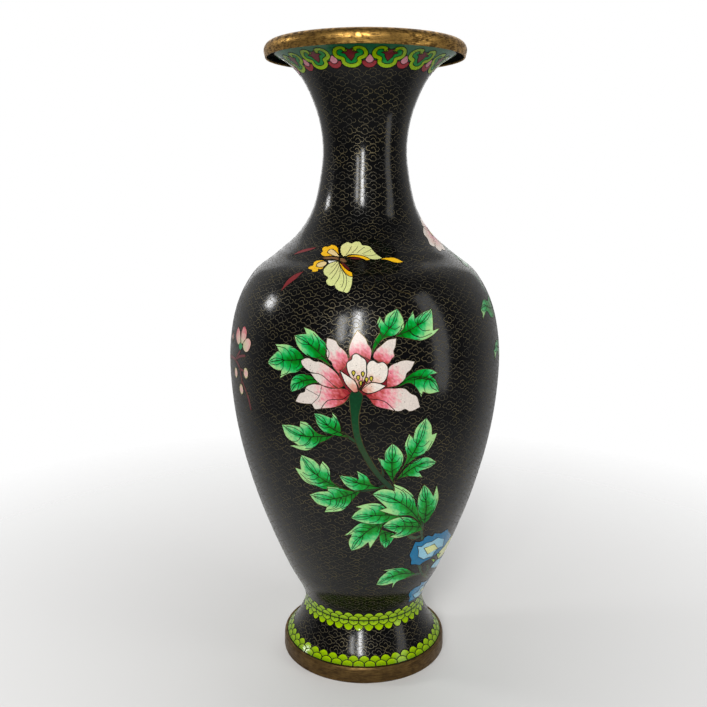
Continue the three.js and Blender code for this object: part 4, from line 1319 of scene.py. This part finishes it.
plum_cells = [(stroke(twig, 2.0, 1.5), plum_bark, 0, "gilt") for twig in PLUM_TWIGS]
plum_cells += [(bud + at, bud_rule(at), 1, "gilt") for at in BUDS]
inlay("plum_twigs", PLUM_AT, plum_cells, [], ["plum_branch"], petal_enamel)


# ---- Blossom and leaves on the right ---------------------------------------------------------------
# A five-petalled blossom, each petal one cell, on a thin stem with three small leaves, two of them
# turned to the left.
PETALS = 5
EYE_SHARE = 0.2  # size of the eye against a petal's length
PEACH_FADE = [(0, 0xC04A5A), (0.35, 0xE48A94), (0.6, 0xEBC4B4), (0.9, 0xEDE2D6)]


def blossom_cells_at(centre, size, turn, fade, level=0):
    """A round blossom: five petals, each drawn once and turned by a fifth, and a small yellow eye."""
    half_petal = [(0, 0.12), (-0.34, 0.36), (-0.5, 0.7), (-0.28, 0.98), (0, 0.9)]
    petal = mirrored(half_petal)
    cells = []
    for k in range(PETALS):
        angle = math.radians(turn + 360 / PETALS * k)
        spin = np.array([(math.cos(angle), math.sin(angle)), (-math.sin(angle), math.cos(angle))])
        tip = np.array(centre) + size * np.array([0.0, 1.0]) @ spin
        outline = drawn(size * petal @ spin + centre)
        cells.append((outline, fading(centre, tip, fade), level + 0.5 * (k % 2), "gilt"))
    eye = arc(centre, (EYE_SHARE * size, EYE_SHARE * size), 0, 330, 12)
    cells.append((eye, plain(0xD8C040), level + 2, "dark"))
    return cells


RIGHT_FLOWER_AT = (58, 290)
inlay(
    "right_flower", RIGHT_FLOWER_AT, blossom_cells_at((0, 0), 15.5, 36, PEACH_FADE), [],
    ["pink_flower"], petal_enamel,
)
RIGHT_LEAF = [
    ([(18, -6), (9, -7), (1, -2), (-3.5, -4), (-6.5, -6), (-6, -3), (-8, 0), (-5, 2), (-1.5, 4.5), (3, 4.5),
      (8.5, 3), (14, 5), (20, 1)], [(19, -2.5), (9, -1.5), (0, 1), (-7.5, 0)]),
]
leaves("right_leaf", (88, 232), RIGHT_LEAF, ["mint_leaf"])
leaves("right_upper_leaf", (98, 266), RIGHT_LEAF, [], side=-1)
leaves("right_lower_leaf", (104, 206), RIGHT_LEAF, [])
right_stem = [(66, 280), (79, 264), (94, 246), (107, 229), (123, 203)]
inlay(
    "right_stem", (0, 0), [(stroke(right_stem, 2.4, 1.8), plain(LEAF_GREEN_DEEP), -1, "gilt")], [],
    [], stem_enamel,
)


# ---- Back of the vase ------------------------------------------------------------------------------
# A second spray: the same peony mirrored, on a shorter stem with fewer leaves, and a plum branch in
# flower beside it.
BACK_AT = (0, 190)
BACK = 180
peony("back_peony", BACK_AT, [], ["back_peony_petals"], BACK, -1)
leaves("back_spray", BACK_AT, LEFT_LEAVES + RIGHT_LEAVES, ["back_peony_leaves"], BACK, -1)
leaves("back_top_leaf", BACK_AT, TOP_LEAVES, [], BACK, -1)
back_stem = [(0, 0), (3, -14), (0, -30), (-6, -44)]
inlay(
    "back_stem", BACK_AT, [(stroke(back_stem, 4.4, 2.6), stem_rule, -1, "gilt")], [],
    [], stem_enamel, BACK,
)
BACK_LEAF_AT = (-28, 168)
leaves("back_stem_leaves", BACK_LEAF_AT, [LOW_LEAVES[2], LOW_LEAVES[4]], [], BACK)
BACK_BRANCH_AT = (66, 180)
BACK_TWIGS = [
    [(-10, -62), (-2, -40), (-6, -18), (2, 4), (-2, 24), (4, 44)], [(-5, -22), (-14, -12), (-18, -2)],
    [(0, 0), (10, 8), (14, 18)], [(-2, -40), (8, -34), (14, -24)],
]
BACK_BLOSSOMS = [((-19, 2), 8), ((15, 23), 9), ((5, 50), 8), ((16, -20), 7)]
BACK_BUDS = [(-10, -34), (-9, 12), (8, 34), (-16, -14), (5, -52)]
branch_cells = [(stroke(twig, 2.8, 1.5), plum_bark, 0, "gilt") for twig in BACK_TWIGS]
branch_cells += [(bud + at, bud_rule(at), 1, "gilt") for at in BACK_BUDS]
for index, (centre, size) in enumerate(BACK_BLOSSOMS):
    branch_cells += blossom_cells_at(centre, size, 25 * index, PINK_FADE, 1)
inlay(
    "back_plum", BACK_BRANCH_AT, branch_cells, [], ["back_branch"], petal_enamel, BACK,
)


# ---- Cloud wires -----------------------------------------------------------------------------------
# The whole ground is filled with small clouds, each one wire bent to four lobes with a curl inside.
# The clouds stand in staggered rows, and the motifs cover those behind them.
CLOUD_WIDE = 9.0
CLOUD_HIGH = 5.1
CLOUD_CLEAR = 5.5  # a cloud this far inside the edge of a motif's cell is not drawn
CLOUD_TURN, CLOUD_STRETCH, CLOUD_SHIFT = 0.09, 0.05, 0.3  # how far the hand-bent clouds differ
CLOUD_LIFT = 0.03
CLOUD_WIRE = 0.3
random = np.random.default_rng(7)
LOBE_STEPS = 5
CLOUD_SCALE = (1.08, 0.9)
cloud_edge = np.concatenate([
    arc((2.45, -0.2), (1.5, 1.4), -110, 115, LOBE_STEPS), arc((0, 1.2), (1.9, 1.55), -5, 185, LOBE_STEPS),
    arc((-2.45, -0.2), (1.5, 1.4), 65, 300, LOBE_STEPS), arc((0.15, -1.6), (1.6, 1.15), 180, 360, LOBE_STEPS),
])
cloud_curl = drawn(
    [(-0.8, -0.25), (-0.2, 0.7), (0.9, 0.55), (1.45, -0.5), (1.9, -1.5)], closed=False, steps=2,
)


def hidden(centres):
    """True for the clouds that lie wholly inside the cells of a motif, well clear of its edge."""
    radius = np.interp(centres[:, 1], run, curve[:, 0])
    covered = np.zeros(len(centres), bool)
    for turn, outline in motif_outlines:
        angle = (centres[:, 0] - turn) % (2 * np.pi) - np.pi
        point = np.stack([angle * radius, centres[:, 1]], 1)
        gap = np.linalg.norm(point[:, None] - outline[None], axis=-1).min(1)
        covered |= inside(point, outline) & (gap > CLOUD_CLEAR)
    return covered


def cloud_rows(bottom, top, high):
    """Centres of the clouds between two heights: rows a cloud high, shifted by half a cloud in turn."""
    start, end = run_at(bottom) + high / 2, run_at(top) - high / 2
    rows = np.linspace(start, end, int((end - start) / high) + 1)
    centres = []
    for index, up in enumerate(rows):
        count = int(2 * np.pi * np.interp(up, run, curve[:, 0]) / CLOUD_WIDE)
        angle = (np.arange(count) + 0.5 * (index % 2)) * (2 * np.pi / count)
        centres.append(np.stack([angle, np.full(count, up)], 1))
    return np.concatenate(centres)


def clouds(centres):
    """Draws a cloud at each centre, a little turned, shifted and stretched, all of them as one shape."""
    count = len(centres)
    turn = random.normal(0, CLOUD_TURN, count)[:, None]
    size = random.normal(1, CLOUD_STRETCH, (count, 2, 1))
    shift = random.normal(0, CLOUD_SHIFT, (count, 2, 1))
    shapes = []
    for line, closed in ((cloud_edge, True), (cloud_curl, False)):
        flat, faces = wire(CLOUD_SCALE * line, closed, CLOUD_LIFT, CLOUD_WIRE)
        x, y = flat[:, 0] * size[:, 0], flat[:, 1] * size[:, 1]
        across = x * np.cos(turn) - y * np.sin(turn) + shift[:, 0]
        up = x * np.sin(turn) + y * np.cos(turn) + shift[:, 1] + centres[:, 1:]
        radius = np.interp(centres[:, 1:], run, curve[:, 0])
        up = np.clip(up, 0, run[-1])
        across = across + (centres[:, :1] - np.pi) * np.interp(up, run, curve[:, 0])
        height = np.broadcast_to(flat[:, 2], across.shape)
        placed = on_skin(np.stack([across, up, height], -1).reshape(-1, 3))
        move = (np.arange(count) * len(flat))[:, None, None]
        shapes.append((placed, [(part[None] + move).reshape(-1, part.shape[1]) for part in faces]))
    return joined(shapes)


FOOT_ROW = 4.3  # mm between the rows on the foot
CLOUD_ZONES = [
    ("foot", 14.6, 31), ("belly_low", 41, 130), ("belly_high", 131, 205), ("shoulder", 206, 262),
    ("neck", 263, 362.8),
]
# The same wire in the black ground, tarnished grey-brown: only a faint line shows against the glass.
cloud_wire = cell_wire("brass_cloud_wire_tarnished", 0x3C3A34, 0x685E40, 0.45, 0.55)
for zone, bottom, top in CLOUD_ZONES:
    centres = cloud_rows(bottom, top, FOOT_ROW if zone == "foot" else CLOUD_HIGH)
    centres = centres[~hidden(centres)]
    add_piece("cloud_wires_" + zone, clouds(centres), cloud_wire, [])


# ---- Brass lip -------------------------------------------------------------------------------------
# A brass strip rolled over the edge of the mouth, open underneath like a gutter. Its gilding has worn
# to mottled gold and brown, brightest where hands and dusters reach it.
LIP_CENTRE = (54.6, 376.7)
LIP_RADIUS = 4.88
LIP_WALL = 0.9
APRON_RADIUS = 58.7
APRON_HEIGHT = 372.8
ROLL_STEPS = 22
ROLL_START, ROLL_END = -18, 140  # degrees, from the outside over the top
APRON_ROUND = 0.4  # radius of the rounded lower edge
inner_radius = LIP_RADIUS - LIP_WALL
outer_roll = arc(LIP_CENTRE, (LIP_RADIUS, LIP_RADIUS), ROLL_START, ROLL_END, ROLL_STEPS)
inner_roll = arc(LIP_CENTRE, (inner_radius, inner_radius), ROLL_END, ROLL_START, ROLL_STEPS)
round_up = APRON_HEIGHT + APRON_ROUND
apron_out = arc((APRON_RADIUS - 0.35, round_up), (0.42, APRON_ROUND), -90, 10, 4)
apron_in = arc((APRON_RADIUS - LIP_WALL + 0.35, round_up), (0.35, APRON_ROUND), 190, 270, 4)
lip_profile = np.concatenate([apron_out, outer_roll, inner_roll, apron_in])
# Rolled brass: gold rubbed through a brown patina in patches and long streaks.
lip_brass = patinated_brass(
    "rolled_brass_worn_gold", 0x5C4422, 0xD0A256, (0.86, 1.16), patch_mm=3, streak_mm=3, roughness=0.4,
)


PAINTED_SHADE_EDGE = 0.3  # mm over which the painted shade inside the roll gives way to bare brass


def paint_shade_inside(material, centre, radius, dark):
    """Painted shade inside a roll, standing in for the shadow under the lip: dark where a point is nearer
    than a radius to its centre line.
    """
    place = node(material, "TexCoord").outputs["Object"]
    parts = node(material, "SeparateXYZ", [(0, place)])
    level = node(material, "CombineXYZ", [("X", parts.outputs["X"]), ("Y", parts.outputs["Y"])])
    out = node(material, "VectorMath", [(0, level.outputs[0])], operation="LENGTH")
    section = node(material, "CombineXYZ", [("X", out.outputs["Value"]), ("Z", parts.outputs["Z"])])
    to_centre = node(
        material, "VectorMath",
        [(0, section.outputs[0]), (1, (centre[0] * MM, 0, centre[1] * MM))], operation="DISTANCE",
    )
    clear = node(
        material, "MapRange",
        [
            ("Value", to_centre.outputs["Value"]), ("From Min", (radius - PAINTED_SHADE_EDGE) * MM),
            ("From Max", radius * MM),
        ],
    )
    shader = material.node_tree.nodes["Principled BSDF"]
    brass = shader.inputs["Base Color"].links[0].from_socket
    colour = node(
        material, "Mix",
        [(0, clear.outputs["Result"]), (MIX_A, rgba(dark)), (MIX_B, brass)], data_type="RGBA",
    )
    link(material, colour.outputs[MIX_OUT], "Base Color")


# Painted shade: the inside of the rolled lip is darkened towards its centre line, in place of the shadow
# under it.
paint_shade_inside(lip_brass, LIP_CENTRE, LIP_RADIUS - PAINTED_SHADE_EDGE, 0x12140E)
add_piece("lip", lathe(lip_profile), lip_brass, ["brass_lip"])


# ---- Floor, camera and lights ----------------------------------------------------------------------
# A pale sweep that fades out round the vase, two narrow tall softboxes nearly ahead, a small lamp on
# the left, a tall dim softbox on the right, and a big one behind for the back. Sizes are in metres.
FLOOR_RADIUS = 1.1
FLOOR_RINGS = 12
FLOOR_TURNS = 96
FADE_START, FADE_END = 0.09, 0.5
floor_rings = np.linspace(0.02, FLOOR_RADIUS, FLOOR_RINGS)
floor_angle = np.arange(FLOOR_TURNS) * (2 * np.pi / FLOOR_TURNS)
floor_points = np.stack([
    np.outer(np.cos(floor_angle), floor_rings).ravel(), np.outer(np.sin(floor_angle), floor_rings).ravel(),
    np.zeros(floor_rings.size * floor_angle.size),
], 1)
floor_faces = grid_faces(floor_angle.size, floor_rings.size, True, False)[:, ::-1]
floor_mesh = bpy.data.meshes.new("floor")
floor_hub = np.arange(floor_angle.size) * floor_rings.size
floor_mesh.from_pydata(floor_points.tolist(), [], floor_faces.tolist() + [floor_hub.tolist()])
floor = bpy.data.objects.new("floor", floor_mesh)
bpy.context.scene.collection.objects.link(floor)
# Matt white paper that lets the backdrop through further out, so that no edge shows.
pale_paper = new_material("pale_paper_matt", [("Roughness", 0.9), ("Base Color", rgba(0xF2F1EF))])
ground_place = node(pale_paper, "TexCoord").outputs["Object"]
reach = node(pale_paper, "VectorMath", [(0, ground_place)], operation="LENGTH")
fade = node(
    pale_paper, "MapRange",
    [
        ("Value", reach.outputs["Value"]), ("From Min", FADE_START), ("From Max", FADE_END),
        ("To Min", 1.0), ("To Max", 0.0),
    ],
)
link(pale_paper, fade.outputs["Result"], "Alpha")
floor_mesh.materials.append(pale_paper)

AIM = Vector((0, 0, 0.24))
LAMP_DISTANCE = 1.6


def softbox(name, azimuth, elevation, wide, high, power):
    """A rectangular lamp aimed at the vase, from a bearing counted from the front towards the right."""
    bearing, rise = math.radians(azimuth), math.radians(elevation)
    away = Vector((math.sin(bearing) * math.cos(rise), -math.cos(bearing) * math.cos(rise), math.sin(rise)))
    lamp = bpy.data.lights.new(name, "AREA")
    lamp.shape = "RECTANGLE"
    lamp.size = wide
    lamp.size_y = high
    lamp.energy = power
    holder = bpy.data.objects.new(name, lamp)
    holder.location = AIM + LAMP_DISTANCE * away
    holder.rotation_euler = away.to_track_quat("Z", "Y").to_euler()
    holder.visible_camera = False
    bpy.context.scene.collection.objects.link(holder)


softbox("key_strip", -6, 21.5, 0.15, 0.85, 17)
softbox("dim_strip", -19, 21.5, 0.14, 0.6, 4)
softbox("left_lamp", -98, 23, 0.24, 0.2, 3.4)
softbox("right_softbox", 64, 14, 0.4, 1.9, 5)
softbox("back_softbox", 180, 30, 1.8, 1.8, 8)

world = bpy.data.worlds.new("studio")
world.use_nodes = True
bpy.context.scene.world = world
backdrop = world.node_tree.nodes["Background"]
WORLD_FRONT, WORLD_BACK, WORLD_BELOW = 0.09, 0.4, 0.2  # brightness ahead, behind and from the floor
parts = node(world, "SeparateXYZ", [(0, node(world, "TexCoord").outputs["Generated"])])
behind = node(
    world, "MapRange",
    [
        ("Value", parts.outputs["Y"]), ("From Min", -0.1), ("From Max", 0.5),
        ("To Min", WORLD_FRONT), ("To Max", WORLD_BACK),
    ],
)
below = node(
    world, "MapRange",
    [
        ("Value", parts.outputs["Z"]), ("From Min", -0.05), ("From Max", -0.2),
        ("To Min", 0.0), ("To Max", WORLD_BELOW),
    ],
)
either = node(world, "Math", [(0, behind.outputs[0]), (1, below.outputs[0])], operation="MAXIMUM")
direct = node(world, "LightPath").outputs["Is Camera Ray"]
seen = node(world, "Math", [(0, either.outputs[0]), (1, direct)], operation="MAXIMUM")
world.node_tree.links.new(seen.outputs[0], backdrop.inputs["Strength"])
backdrop.inputs["Color"].default_value = (1, 1, 1, 1)
bpy.context.scene.view_settings.view_transform = "Standard"

CAMERA_AT = (0, -0.525, 0.301)
CAMERA_DOWN = 11.3  # degrees
CAMERA_LEFT = 0.75  # degrees
LENS = 43.28
camera = bpy.data.cameras.new("camera")
camera.lens = LENS
camera.sensor_width = 36
eye = bpy.data.objects.new("camera", camera)
eye.location = CAMERA_AT
eye.rotation_euler = (math.radians(90 - CAMERA_DOWN), 0, math.radians(CAMERA_LEFT))
bpy.context.scene.collection.objects.link(eye)
bpy.context.scene.camera = eye

bpy.context.view_layer.update()
